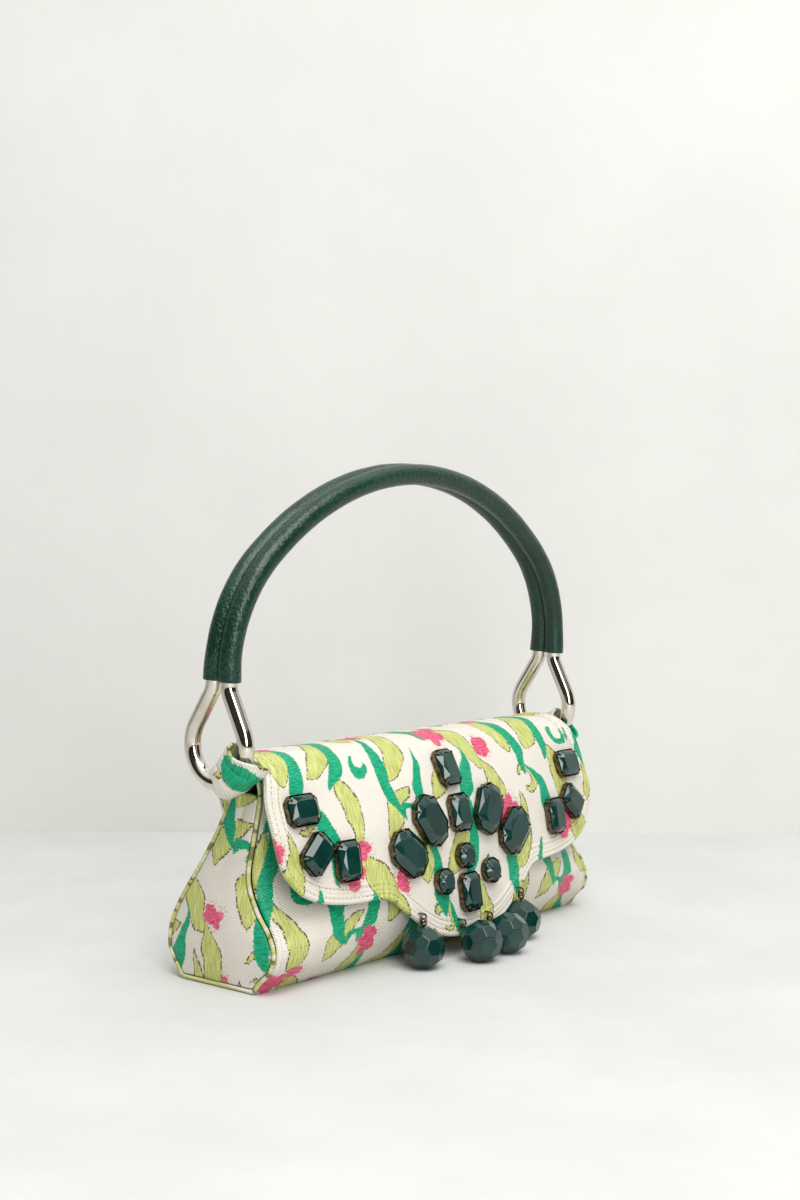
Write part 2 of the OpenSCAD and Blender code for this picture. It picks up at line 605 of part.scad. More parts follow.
module rod(grow) circle(r = rod_r + grow, $fn = round_facets);
module ring() {
    rotate([90, 0, 90]) rotate([0, 0, 180 - ring_side_angle])
        rotate_extrude(angle = 180 + 2*ring_side_angle, $fn = 4*round_facets) translate([ring_r, 0]) rod(0);
    for (side = [0, 1]) mirror([0, side, 0]) {
        translate([0, side_y, side_z]) rotate([ring_side_angle, 0, 0]) translate([0, 0, -lap_length])
            linear_extrude(straight + 2*lap_length) rod(lap_step);
        translate([0, leg_y + reverse_r, leg_z]) rotate([90, 0, 90]) rotate([0, 0, 180])
            rotate_extrude(angle = ring_side_angle, $fn = 4*round_facets) translate([reverse_r, 0]) rod(0);
        translate([0, leg_y, leg_z - lap_length]) linear_extrude(leg_depth + lap_length) rod(lap_step);
    }
}
module ring_left() color("silver") handle_place() translate([-handle_x, 0, 0]) ring();
module ring_right() color("silver") handle_place() translate([handle_x, 0, 0]) ring();

// The fabric loop round the ring's bottom, with its tail sewn to the top of the end panel
tail_top_z = ring_centre_z - ring_r;
tail_low_z = tail_top_z - loop_bore_r - loop_tail_drop;
tail_x = end_x(tail_low_z) + seam_gap + cloth_wall + gusset_swell*tail_swell_share + run_gap;
tail_out_x = handle_x - loop_bore_r - seam_gap;
module ring_loop(hand) mirror([hand < 0 ? 1 : 0, 0, 0]) {
    translate([handle_x, -ring_front, ring_centre_z]) rotate([90, 0, 90]) rotate([0, 0, -90 - loop_angle/2])
        rotate_extrude(angle = loop_angle, $fn = 2*round_facets) translate([ring_r, 0]) difference() {
            circle(r = loop_outer_r, $fn = round_facets);
            circle(r = loop_bore_r, $fn = round_facets);
        }
    translate([tail_x, -ring_front, tail_top_z]) rotate([90, 0, 90]) linear_extrude(tail_out_x - tail_x)
        polygon([for (s = tail_shares) [s[0]*loop_width, s[1]*(tail_low_z - tail_top_z)]]);
}
module ring_loop_left() color("beige") ring_loop(-1);
module ring_loop_right() color("beige") ring_loop(1);

front_panel();
back_panel();
base_panel();
gusset_left();
gusset_right();
piping_left();
piping_right();
lining_front();
lining_back();
lining_left();
lining_right();
lining_base();
base_board();
slip_pocket();
snap_socket();
ring_loop_left();
ring_loop_right();
flap();
flap_interfacing();
flap_lining();
flap_border();
snap_stud();
small_stones();
small_settings();
large_stones();
large_settings();
round_stones();
round_settings();
bead_links();
bead_outer_left();
bead_inner_left();
bead_inner_right();
bead_outer_right();
eye_outer_left();
eye_inner_left();
eye_inner_right();
eye_outer_right();
handle_cover();
handle_core_front();
handle_core_back();
ring_left();
ring_right();
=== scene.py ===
# %% [markdown]
# # A jewelled brocade shoulder bag
# This notebook dresses a small shoulder bag: a soft body of floral brocade, a scalloped flap with
# glass stones in metal cups, four hanging beads and a stiff leather handle on two nickel rings.
# The construction is already packed as a fixed frame, so every piece made here is drawn in metres at
# the place where the frame has it, and all but the flap's root ride on one of the frame's moving bodies.

# %% Load the frame
import math
import bmesh
import bpy
from mathutils import Matrix, Vector, noise


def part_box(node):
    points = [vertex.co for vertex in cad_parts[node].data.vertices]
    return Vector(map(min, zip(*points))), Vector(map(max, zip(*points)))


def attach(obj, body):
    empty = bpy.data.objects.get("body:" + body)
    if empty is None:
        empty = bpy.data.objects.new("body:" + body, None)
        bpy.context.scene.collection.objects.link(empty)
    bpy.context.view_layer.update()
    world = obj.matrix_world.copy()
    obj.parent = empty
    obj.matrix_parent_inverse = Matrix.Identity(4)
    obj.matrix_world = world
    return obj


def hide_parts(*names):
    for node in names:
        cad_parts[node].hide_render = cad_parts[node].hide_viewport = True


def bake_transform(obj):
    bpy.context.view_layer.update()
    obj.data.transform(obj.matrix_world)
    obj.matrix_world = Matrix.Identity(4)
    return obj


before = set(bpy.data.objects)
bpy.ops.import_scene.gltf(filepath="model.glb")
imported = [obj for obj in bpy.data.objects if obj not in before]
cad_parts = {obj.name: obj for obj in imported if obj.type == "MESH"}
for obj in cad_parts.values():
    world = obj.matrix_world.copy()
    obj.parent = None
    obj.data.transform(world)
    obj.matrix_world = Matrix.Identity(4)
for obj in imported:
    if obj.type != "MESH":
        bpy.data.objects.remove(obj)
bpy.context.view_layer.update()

MM = 0.001

# %% [markdown]
# ## The sizes that the cloth follows
# A sewn bag is cut from flat cloth, but it is drawn best from its finished outline. The frame's source
# describes the body by cross-sections at its middle and its ends, and the flap by one profile and one
# lower edge. The same shares are repeated here, so that the dressed pieces lie on the solids.

# %% Sizes and outlines, in millimetres and shares
BODY_LENGTH = 252
BODY_HEIGHT = 102.5
HALF_DEPTH = 35
HALF_BASE = 24
END_LEAN = 8.5
CLOTH_WALL = 1.8
LINING_WALL = 0.6
PIPING_R = 1.2
SEAM_GAP = 0.25
FULLNESS = 2.4
BODY_ROWS = 9
HALF_LENGTH = BODY_LENGTH / 2
LINING_AT = CLOTH_WALL + SEAM_GAP
TOP_FOLD_Z = 105
FLAP_TOP_HALF = 119
FLAP_HALF = 125.5
LOBE_FALL = 4
FLAP_SKIN = 2.75
BORDER_WIDTH = 8.5
STONE_SEAT = 3.175
RING_Z = 112.5
RING_FRONT = 3

FRONT_MIDDLE = [(-0.86, 0.045), (-1.05, 0.125), (-1.18, 0.24), (-1.2, 0.335), (-1.17, 0.44),
                (-1.11, 0.55), (-0.99, 0.72), (-0.76, 0.885), (-0.49, 1)]
FRONT_END = [(-0.78, 0.045), (-0.97, 0.11), (-1.02, 0.195), (-0.91, 0.28), (-0.66, 0.38),
             (-0.49, 0.51), (-0.56, 0.7), (-0.62, 0.875), (-0.5, 1)]
BACK_MIDDLE = [(0.86, 0.045), (1.03, 0.135), (1.07, 0.24), (1.04, 0.335), (0.96, 0.43),
               (0.8, 0.55), (0.56, 0.72), (0.31, 0.885), (0.14, 1)]
BACK_END = [(0.8, 0.045), (0.98, 0.13), (0.985, 0.24), (0.87, 0.335), (0.7, 0.43),
            (0.46, 0.55), (0.16, 0.72), (-0.03, 0.885), (0.08, 1)]
FLAP_PROFILE = [(0.143, 0.984), (0.043, 0.995), (-0.114, 1), (-0.314, 1), (-0.486, 0.99),
                (-0.629, 0.958), (-0.763, 0.906), (-0.877, 0.84), (-1, 0.746), (-1.094, 0.653),
                (-1.154, 0.535), (-1.209, 0.427), (-1.286, 0.282), (-1.377, 0.075)]
FLAP_EDGE = [(0, 0.1), (0.07, 0.104), (0.14, 0.12), (0.22, 0.151), (0.3, 0.199), (0.37, 0.254),
             (0.42, 0.302), (0.475, 0.334), (0.56, 0.341), (0.68, 0.348), (0.8, 0.375), (0.89, 0.424),
             (0.95, 0.487), (0.985, 0.558), (1, 0.649)]
WIDEN_ROWS = (3.5, 7.5)
FALL_ROWS = (5, 8)
LOBE_SHARES = (0.35, 0.92)

# %% [markdown]
# ## Curves
# One smooth curve through a few points does most of the work. It is the same curve as the frame's,
# so a point asked for here lies where the solid has it.

# %% Curve helpers


def mix(a, b, t):
    return a + (b - a) * t


def eased(t):
    u = min(1, max(0, t))
    return u * u * (3 - 2 * u)


def between(low, high, t):
    return eased((t - low) / (high - low))


def along(points, t):
    """A smooth curve through a list of points, at row t."""
    last = len(points) - 1
    i = max(0, min(int(math.floor(t)), last - 1))
    u = t - i
    near = [points[min(last, max(0, k))] for k in (i - 1, i, i + 1, i + 2)]
    return [q + 0.5 * u * ((r - p) + u * ((2 * p - 5 * q + 4 * r - s) + u * (3 * (q - r) + s - p)))
            for p, q, r, s in zip(*near)]


def ruffle(point, size, seed=0.0):
    """A smooth random number from -1 to 1 that changes over a distance of size millimetres."""
    return noise.noise(Vector(point) / size + Vector((seed, 2.7 * seed, -seed)))


def section(shares, side):
    return [(side * HALF_BASE, 0)] + [(y * HALF_DEPTH, z * BODY_HEIGHT) for y, z in shares]


def end_x(z):
    return HALF_LENGTH - END_LEAN * z / BODY_HEIGHT


SECTIONS = {-1: (section(FRONT_MIDDLE, -1), section(FRONT_END, -1)),
            1: (section(BACK_MIDDLE, 1), section(BACK_END, 1))}


def skin_point(side, q, t):
    """A point of the body's outer face: share q of its length, row t of its section."""
    middle, end = (along(line, t) for line in SECTIONS[side])
    share = abs(q) ** FULLNESS
    y, z = mix(middle[0], end[0], share), mix(middle[1], end[1], share)
    return Vector((q * end_x(z), y, z))


print("middle of the front at its fullest:", [round(c, 1) for c in skin_point(-1, 0, 4)])

# %% [markdown]
# ## Camera
# The camera stands low in front of the left end and looks along the bag. Its place and lens were fitted
# to the photo with the bag standing on its base. It is a plain perspective camera with no shift.

# %% Camera
CAMERA_PLACE = (-0.6778, -0.5711, 0.2096)
CAMERA_DIP = 2.185
CAMERA_TURN = -50.06
CAMERA_LENS = 51.46
camera_data = bpy.data.cameras.new("camera")
camera_data.lens = CAMERA_LENS
camera_data.sensor_width = 36
camera_data.sensor_fit = "AUTO"
camera = bpy.data.objects.new("camera", camera_data)
camera.location = CAMERA_PLACE
camera.rotation_euler = (math.radians(90 - CAMERA_DIP), 0, math.radians(CAMERA_TURN))
bpy.context.collection.objects.link(camera)
bpy.context.scene.camera = camera
bpy.context.scene.view_settings.view_transform = "Standard"
print("camera stands", round(Vector(CAMERA_PLACE).length, 3), "m from the bag")

# %% [markdown]
# ## Node graphs in a few words
# Shader nodes are quick to wire by hand, but long to write. This small class adds a node, sets its
# values and feeds its sockets in one call. What a node gives comes back as a value that Python's own
# signs can add and multiply, so that a material reads as a sum.

# %% A short way to write node graphs


def colour(red, green, blue):
    """A screen colour from 0 to 255, as the linear values that shaders use."""
    linear = [c / 12.92 if c <= 0.04045 else ((c + 0.055) / 1.055) ** 2.4
              for c in (red / 255, green / 255, blue / 255)]
    return (*linear, 1)


class Value:
    """What one output of a node gives. Each sum with it adds a math node to its graph."""

    def __init__(self, graph, socket):
        self.graph, self.socket = graph, socket

    def __add__(self, other):
        return self.graph.math("ADD", self, other)

    def __sub__(self, other):
        return self.graph.math("SUBTRACT", self, other)

    def __rsub__(self, other):
        return self.graph.math("SUBTRACT", other, self)

    def __mul__(self, other):
        return self.graph.math("MULTIPLY", self, other)

    def __truediv__(self, other):
        return self.graph.math("DIVIDE", self, other)

    def __pow__(self, other):
        return self.graph.math("POWER", self, other)

    def __abs__(self):
        return self.graph.math("ABSOLUTE", self)


class Graph:
    def __init__(self, tree):
        self.tree = tree

    def feed(self, socket, value):
        if isinstance(value, Value):
            self.tree.links.new(value.socket, socket)
        elif value is not None:
            socket.default_value = value

    def fill(self, sockets, **values):
        """Feeds sockets by name; a low line in a name stands for a space."""
        for name, value in values.items():
            self.feed(sockets[name.replace("_", " ")], value)

    def node(self, kind, sockets=None, **settings):
        made = self.tree.nodes.new(kind)
        made.location = (180 * (len(self.tree.nodes) // 6), -200 * (len(self.tree.nodes) % 6))
        for name, value in settings.items():
            setattr(made, name, value)
        for name, value in (sockets or {}).items():
            self.feed(made.inputs[name], value)
        return made

    def out(self, kind, sockets=None, output=0, **settings):
        return Value(self, self.node(kind, sockets, **settings).outputs[output])

    def outs(self, node):
        return {socket.name: Value(self, socket) for socket in node.outputs}

    def math(self, operation, a, b=None, c=None):
        return self.out("ShaderNodeMath", {0: a, 1: b, 2: c}, operation=operation)

    def vector(self, operation, a, b=None, output=0):
        return self.out("ShaderNodeVectorMath", {0: a, 1: b}, output, operation=operation)

    def split(self, vector):
        return self.outs(self.node("ShaderNodeSeparateXYZ", {0: vector})).values()

    def join(self, x, y):
        return self.out("ShaderNodeCombineXYZ", {0: x, 1: y})

    def step(self, value, low, high, bottom=0.0, top=1.0):
        return self.out("ShaderNodeMapRange", {0: value, 1: low, 2: high, 3: bottom, 4: top},
                        interpolation_type="SMOOTHSTEP")

    def noise(self, vector, scale, detail=2.0, roughness=0.5, output=0):
        sockets = {"Vector": vector, "Scale": scale, "Detail": detail, "Roughness": roughness}
        return self.out("ShaderNodeTexNoise", sockets, output)

    def streaks(self, x, y, fine_x, fine_y, detail=2.0, roughness=0.5):
        """Noise with another grain along than across."""
        return self.noise(self.join(x * fine_x, y * fine_y), 1.0, detail, roughness)

    def blend(self, factor, a, b):
        return self.out("ShaderNodeMix", {0: factor, 6: a, 7: b}, 2, data_type="RGBA")

    def shade(self, value, low, high, dark, light):
        """From a dark to a light colour as a value rises from low to high."""
        return self.blend(self.step(value, low, high), dark, light)

    def bump(self, height, relief):
        """A normal from a height, whose relief is in millimetres."""
        return self.out("ShaderNodeBump", {"Height": height, "Distance": relief * MM})

    def place(self):
        return self.out("ShaderNodeTexCoord", output="Object")

    def cloth(self):
        return self.out("ShaderNodeUVMap", uv_map="cloth")

    def group(self, tree, sockets):
        return self.outs(self.node("ShaderNodeGroup", sockets, node_tree=tree))


KINDS = {"float": "NodeSocketFloat", "vector": "NodeSocketVector", "colour": "NodeSocketColor"}


def new_group(name, inputs, outputs):
    """A node group with named sockets; gives its graph, its inputs and the sockets of its results."""
    tree = bpy.data.node_groups.new(name, "ShaderNodeTree")
    for names, way in ((inputs, "INPUT"), (outputs, "OUTPUT")):
        for socket, kind in names.items():
            tree.interface.new_socket(name=socket, in_out=way, socket_type=KINDS[kind])
    graph = Graph(tree)
    return graph, graph.outs(graph.node("NodeGroupInput")), graph.node("NodeGroupOutput").inputs


def new_material(name, **values):
    """A material with one Principled shader, whose plain values are set on its own sockets."""
    material = bpy.data.materials.new(name)
    material.use_nodes = True
    graph = Graph(material.node_tree)
    inputs = material.node_tree.nodes["Principled BSDF"].inputs
    graph.fill(inputs, **values)
    return material, graph, inputs


# %% [markdown]
# ## Brocade: the motifs
# Brocade shows floating coloured threads over a pale twill ground. Painting it as an image would fix its
# size, so the motifs are worked out as depths: each little group says how far a point of the cloth lies
# inside a leaf, a blossom or a curl, in millimetres. The layout repeats as a half drop, where every other
# column is moved down by half a repeat, which is how furnishing and dress fabrics hide their repeat.

# %% Motif groups
REPEAT_WIDTH = 86.0
REPEAT_DROP = 118.0
LEAF_ROUNDNESS = 0.7
LEAF_TAPER = 0.3
PETAL_ROUNDNESS = 0.6
# A curl is thinnest at its opening and full at this angle from it, with these shares of its width
CURL_FULL = 2.2
CURL_SHARES = (0.25, 0.5)
MOTIF_INPUTS = {"Cloth": "vector", "Centre": "vector", "Turn": "float", "Length": "float",
                "Width": "float", "Bend": "float"}


def motif_place(graph, given):
    """The place of a cloth point as a motif sees it, with the motif's nearest copy at zero."""
    x, y, _ = graph.split(graph.vector("SUBTRACT", given["Cloth"], given["Centre"]))
    column = graph.math("ROUND", x / REPEAT_WIDTH)
    near_x = x - column * REPEAT_WIDTH
    drop = graph.math("PINGPONG", column, 1.0) * (REPEAT_DROP / 2)
    near_y = graph.math("WRAP", y + drop, REPEAT_DROP / 2, -REPEAT_DROP / 2)
    turned = graph.out("ShaderNodeVectorRotate", {"Vector": graph.join(near_x, near_y),
                                                  "Angle": given["Turn"] * -1.0}, rotation_type="Z_AXIS")
    x, y, _ = graph.split(turned)
    return x, y


def leaf_depth(graph, given, x, y):
    """A pointed oval along x, broader near one end, whose midrib is bent to a parabola."""
    half = given["Length"] * 0.5
    share = x / half
    swell = graph.math("MAXIMUM", 1.0 - share * share, 0.0) ** LEAF_ROUNDNESS
    taper = graph.math("MULTIPLY_ADD", share, -LEAF_TAPER, 1.0)
    reach = given["Width"] * 0.5 * swell
    beside = reach * taper - abs(y - given["Bend"] * (x * x))
    return graph.math("MINIMUM", beside, half - abs(x))


def blossom_depth(graph, given, x, y):
    """Round petals between an inner and an outer radius."""
    petals = abs(graph.math("COSINE", graph.math("ARCTAN2", y, x) * given["Bend"])) ** PETAL_ROUNDNESS
    reach = graph.math("MULTIPLY_ADD", given["Length"] - given["Width"], petals, given["Width"])
    return reach - graph.vector("LENGTH", graph.join(x, y), output="Value")


def curl_depth(graph, given, x, y):
    """An open ring that thins out towards its opening."""
    away = graph.vector("LENGTH", graph.join(x, y), output="Value")
    angle = abs(graph.math("ARCTAN2", y, x))
    swell = graph.step(angle, given["Bend"], CURL_FULL, *CURL_SHARES)
    beside = given["Width"] * swell - abs(away - given["Length"])
    return graph.math("MINIMUM", beside, (angle - given["Bend"]) * given["Length"])


def motif_group(name, depth):
    graph, given, result = new_group("brocade " + name, MOTIF_INPUTS, {"Depth": "float"})
    graph.fill(result, Depth=depth(graph, given, *motif_place(graph, given)))
    return graph.tree


MOTIFS = {"leaf": motif_group("leaf", leaf_depth), "blossom": motif_group("blossom", blossom_depth),
          "curl": motif_group("curl", curl_depth)}
print("motif groups:", [tree.name for tree in MOTIFS.values()])

# %% [markdown]
# ## Brocade: three layers of silk over twill
# The layout below is a plain garden of the maker's own: sprays of broad leaves, blossoms of three to five
# petals and curls. Each line gives a motif, its centre in the repeat, its turn in degrees, its length or
# radius, its width or inner radius, and its bend, its number of petals over two or its opening. Lime goes
# down first with a dark outline, emerald satin over it, and the pink blossoms on top. The edges are
# ragged by a thread's width, because a woven figure can only change colour from thread to thread.

# %% The layout of the repeat
LIME = [("leaf", -30, 36, 62, 36, 12, 0.012), ("leaf", -3, 52, 108, 28, 10, -0.015),
        ("leaf", 24, 36, 74, 44, 13, 0.009), ("leaf", 12, 3, 44, 32, 10, -0.016),
        ("leaf", -17, 6, 98, 38, 12, 0.011), ("leaf", -8, -27, 124, 36, 13, 0.012),
        ("leaf", 27, -18, 82, 38, 12, -0.011), ("leaf", 6, -53, 100, 32, 11, 0.012),
        ("leaf", -32, -45, 34, 30, 11, -0.014), ("curl", 36, -54, 200, 6.5, 4.5, 0.7)]
EMERALD = [("leaf", -20, 40, 80, 54, 9, 0.004), ("leaf", 9, 22, 95, 50, 8.5, -0.005),
           ("leaf", 34, 12, 66, 40, 8, 0.01), ("leaf", -36, -6, 108, 42, 8.5, 0.007),
           ("leaf", 36, -30, 98, 46, 8.5, 0.005), ("leaf", -16, -50, 68, 38, 8, 0.008),
           ("curl", -6, 26, 60, 4.8, 3.8, 0.9), ("curl", 20, -3, 250, 4.4, 3.4, 1.0)]
PINK = [("blossom", -24, -21, 54, 9, 5.5, 2.5), ("blossom", -15, -13, 20, 5, 3.2, 1.5),
        ("blossom", 13, 51, 10, 7.5, 5, 2.5), ("blossom", 31, -6, 40, 7.5, 4.5, 2.5),
        ("blossom", 7, -33, 30, 6, 4, 2.0)]

# %% The woven cloth
# Pairs are the dark and the light shade of a colour
TWILL = colour(203, 197, 186), colour(230, 225, 216)
CREAM = colour(222, 217, 200)
LIME_SILK = colour(172, 177, 92), colour(204, 209, 134)
EMERALD_SILK = colour(0, 132, 94), colour(10, 172, 126)
PINK_SILK = colour(190, 38, 96), colour(232, 96, 142)
OUTLINE_SILK = colour(96, 74, 52)
GOLD_SILK = colour(176, 138, 52)
FAR_OUTSIDE = -99.0
WAVER = 11.0
RAGGED = 1.3
RIB_SLOPE = 1.6
RIB_FINENESS = 3.3
FIGURE_EDGE = (-0.12, 0.18)


def layer_depth(graph, cloth, layout):
    """The depth in all the motifs of one colour, joined one by one to spare the renderer's memory."""
    deepest = FAR_OUTSIDE
    for kind, x, y, turn, length, width, bend in layout:
        values = {"Cloth": cloth, "Centre": (x, y, 0), "Turn": math.radians(turn), "Length": length,
                  "Width": width, "Bend": bend}
        deepest = graph.math("MAXIMUM", deepest, graph.group(MOTIFS[kind], values)["Depth"])
    return deepest


def brocade_group():
    """Cloth coordinates in metres in; colour, roughness and height in millimetres out."""
    graph, given, result = new_group("brocade", {"Cloth": "vector", "Shift": "vector"},
                                     {"Color": "colour", "Roughness": "float", "Height": "float"})
    flat = graph.out("ShaderNodeVectorMath", {0: given["Cloth"], "Scale": 1 / MM}, operation="SCALE")
    flat = graph.vector("ADD", flat, given["Shift"])
    x, y, _ = graph.split(flat)
    # The figure wavers as hand-drawn ones do, and each weft thread ends a little early or late
    waver = graph.vector("SUBTRACT", graph.noise(flat, 0.055, 1.0, output="Color"), (0.5, 0.5, 0.5))
    drawn = graph.vector("ADD", flat, graph.vector("MULTIPLY", waver, (WAVER, WAVER, 0.0)))
    ragged = graph.math("MULTIPLY_ADD", graph.streaks(x, y, 0.35, 1.9, 1.0, 0.6), 2 * RAGGED, -RAGGED)
    lime = layer_depth(graph, drawn, LIME) + ragged * 0.4
    emerald = layer_depth(graph, drawn, EMERALD) + ragged
    pink = layer_depth(graph, drawn, PINK) + ragged * 1.3
    # Fine diagonal ribs of the twill ground, the long floats of the silk, and streaks of painted sheen
    # along the lime
    rib = graph.math("SINE", (x + y * RIB_SLOPE) * RIB_FINENESS)
    lime_sheen_streaks = graph.streaks(x, y, 1.3, 0.12, 3.0)
    float_line = graph.streaks(x, y, 0.22, 1.7)
    patch = graph.noise(flat, 0.09)
    ground = graph.shade(rib, -0.8, 0.9, *TWILL)
    ground = graph.blend(graph.step(patch, 0.4, 0.75) * 0.6, ground, CREAM)
    # The lime silk goes lighter and darker in vertical streaks: painted sheen on its floats
    lime_silk_and_sheen = graph.shade(lime_sheen_streaks, 0.38, 0.62, *LIME_SILK)
    emerald_silk = graph.shade(float_line, 0.35, 0.65, *EMERALD_SILK)
    pink_silk = graph.shade(float_line, 0.36, 0.62, *PINK_SILK)
    broken = graph.step(graph.noise(flat, 0.8, 1.0), 0.42, 0.5)
    outline = graph.step(abs(lime - 0.1), 0.75, 0.25) * broken
    in_lime, in_emerald, in_pink = [graph.step(depth, *FIGURE_EDGE) for depth in (lime, emerald, pink)]
    shade = graph.blend(in_lime, ground, lime_silk_and_sheen)
    shade = graph.blend(outline, shade, OUTLINE_SILK)
    shade = graph.blend(in_emerald, shade, emerald_silk)
    shade = graph.blend(in_pink, shade, pink_silk)
    # Gold shows as flecks beside the pink figures
    gold = graph.step(graph.noise(flat, 1.1, 1.0), 0.57, 0.62) * graph.step(pink, -5.0, -1.0)
    shade = graph.blend(gold * 0.8, shade, GOLD_SILK)
    figure = graph.math("MAXIMUM", graph.math("MAXIMUM", in_lime, in_emerald), in_pink)
    # The height leaves the figure out: a bump works its height out three times over
    graph.fill(result, Color=shade, Roughness=graph.math("MULTIPLY_ADD", figure, -0.26, 0.74),
               Height=float_line * 0.2 + rib * 0.05)
    return graph.tree


BROCADE = brocade_group()
print("brocade nodes:", len(BROCADE.nodes))

# %% [markdown]
# ## Finishes
# Each finish is one Principled shader. The cloths read the cloth's own UV map, which holds the place on
# the flat cloth in metres, so the pattern bends with the fabric and keeps its scale. Leather, metal and
# glass read Object coordinates, since their grain has no direction that matters from a step away.

# %% Cloth finishes


def brocade_material(name, x, y):
    """The brocade, with its pattern moved by x and y millimetres."""
    material, graph, inputs = new_material("brocade, " + name, Specular_IOR_Level=0.35)
    woven = graph.group(BROCADE, {"Cloth": graph.cloth(), "Shift": (x, y, 0.0)})
    graph.fill(inputs, Base_Color=woven["Color"], Roughness=woven["Roughness"],
               Normal=graph.bump(woven["Height"], 1.0))
    return material


def lining_material():
    """A plain sage satin, as bags of this kind are lined."""
    material, graph, inputs = new_material("lining satin", Specular_IOR_Level=0.4)
    x, y, _ = graph.split(graph.cloth())
    thread = graph.streaks(x, y, 2500.0, 400.0)
    shade = graph.shade(thread, 0.35, 0.65, colour(120, 142, 112), colour(138, 160, 128))
    graph.fill(inputs, Base_Color=shade, Roughness=graph.math("MULTIPLY_ADD", thread, 0.2, 0.4),
               Normal=graph.bump(thread, 0.05))
    return material


def piping_material():
    """A bias strip cut from the brocade: too narrow to show a figure, so only its colours pass by."""
    material, graph, inputs = new_material("piping cloth", Roughness=0.7, Specular_IOR_Level=0.3)
    x, y, _ = graph.split(graph.cloth())
    patch = graph.streaks(x, y, 40.0, 150.0)
    twist = graph.math("SINE", (x + y) * 5200.0)
    olive = colour(126, 122, 76)
    shade = graph.shade(patch, 0.42, 0.46, olive, colour(198, 203, 130))
    shade = graph.blend(graph.step(patch, 0.55, 0.58), shade, colour(222, 216, 200))
    shade = graph.blend(graph.step(twist, 0.2, 1.0, 0.0, 0.3), shade, olive)
    graph.fill(inputs, Base_Color=shade, Normal=graph.bump(twist, 0.05))
    return material


def mottled_material(name, dark, light, scale, detail=3.0, finer=0.6, low=0.3, high=0.7,
                     rough=(0.2, 0.7), relief=0.02, **values):
    """One noise gives a surface its colour, height and roughness; rough is the noise's share and a base."""
    material, graph, inputs = new_material(name, **values)
    mottle = graph.noise(graph.place(), scale, detail, finer)
    graph.fill(inputs, Base_Color=graph.shade(mottle, low, high, colour(*dark), colour(*light)),
               Roughness=graph.math("MULTIPLY_ADD", mottle, *rough), Normal=graph.bump(mottle, relief))
    return material


# %% [markdown]
# ## Leather, nickel, bronze and glass
# The leather is a bottle green hide with a fine grain. The nickel is polished, so all of its look comes
# from what it reflects, with only a faint unevenness. The stones are opaque pressed glass: almost black
# green, with a sharp gloss. The cups are bronze that has darkened in its hollows.

# %% Hard finishes


def leather_material():
    material, graph, inputs = new_material("bottle green leather", Specular_IOR_Level=0.5)
    place = graph.place()
    cells = graph.out("ShaderNodeTexVoronoi", {"Vector": place, "Scale": 800.0}, "Distance",
                      feature="SMOOTH_F1")
    folds = graph.noise(place, 240.0, 4.0, 0.6)
    pores = graph.step(cells, 0.15, 0.6)
    wear = graph.noise(place, 40.0, 3.0)
    shade = graph.shade(wear, 0.3, 0.75, colour(5, 46, 32), colour(12, 64, 46))
    shade = graph.blend(pores * 0.45, shade, colour(5, 32, 25))
    graph.fill(inputs, Base_Color=shade, Roughness=graph.math("MULTIPLY_ADD", wear, 0.14, 0.24),
               Normal=graph.bump(pores * -0.6 + folds, 0.22))
    return material


BROCADE_SHIFTS = {"front": (12, 30), "back": (48, 16), "base": (20, 77), "end panels": (9, 52),
                  "flap": (-30, 0), "ring loops": (25, 40)}
THREAD = {"scale": 2600.0, "detail": 1.0, "finer": 0.5, "low": 0.35, "high": 0.65, "rough": (0.2, 0.5),
          "relief": 0.1, "Specular_IOR_Level": 0.3}
FIBRE = {"detail": 5.0, "finer": 0.7, "relief": 0.2, "Specular_IOR_Level": 0.2}
FINISH = {name: brocade_material(name, *shift) for name, shift in BROCADE_SHIFTS.items()}
FINISH.update({
    "piping": piping_material(),
    "lining": lining_material(),
    "thread": mottled_material("tan sewing thread", (132, 120, 80), (190, 180, 134), **THREAD),
    "green thread": mottled_material("green sewing thread", (30, 72, 58), (88, 124, 106), **THREAD),
    "leather": leather_material(),
    "nickel": mottled_material("polished nickel", (208, 200, 188), (226, 220, 210), 60.0,
                               rough=(0.03, 0.045), Metallic=1.0),
    "bronze": mottled_material("aged bronze", (54, 46, 34), (128, 112, 88), 420.0,
                               rough=(0.14, 0.21), Metallic=1.0),
    "steel": mottled_material("snap steel", (160, 160, 158), (190, 190, 188), 200.0,
                              rough=(0.15, 0.225), Metallic=1.0),
    "stone": mottled_material("dark green glass", (6, 44, 40), (12, 56, 50), 90.0, 2.0, 0.5,
                              rough=(0.02, 0.02), relief=0.03, IOR=1.58, Specular_IOR_Level=0.55),
    "board": mottled_material("base board", (140, 114, 84), (176, 150, 116), 700.0, **FIBRE),
    "cotton": mottled_material("cotton core", (196, 184, 160), (226, 216, 196), 1500.0, **FIBRE),
})
print("finishes:", sorted(FINISH))

# %% [markdown]
# ## From a grid to a piece of cloth
# A cut panel starts as a flat square grid. Each point of the grid is laid on the finished surface, and its
# place on the flat cloth goes into a UV map for the brocade to follow. A Solidify modifier then gives the
# cloth its thickness, inwards from the outer face.

# %% Helpers for pieces
BENT_STRIP_SHARE = 0.32
ONE_PLACE = 0.01 * MM


def cut_size(piece):
    """The width, length and area of a piece's flat cut in metres, which its cloth UV map holds."""
    layer = piece.data.uv_layers["cloth"].uv
    area, spots = 0, []
    for face in piece.data.polygons:
        ring = [layer[i].vector for i in face.loop_indices]
        area += abs(sum(a.cross(b) for a, b in zip(ring, ring[1:] + ring[:1]))) / 2
        spots += ring
    width, length = (max(spot[i] for spot in spots) - min(spot[i] for spot in spots) for i in (0, 1))
    return width, length, area


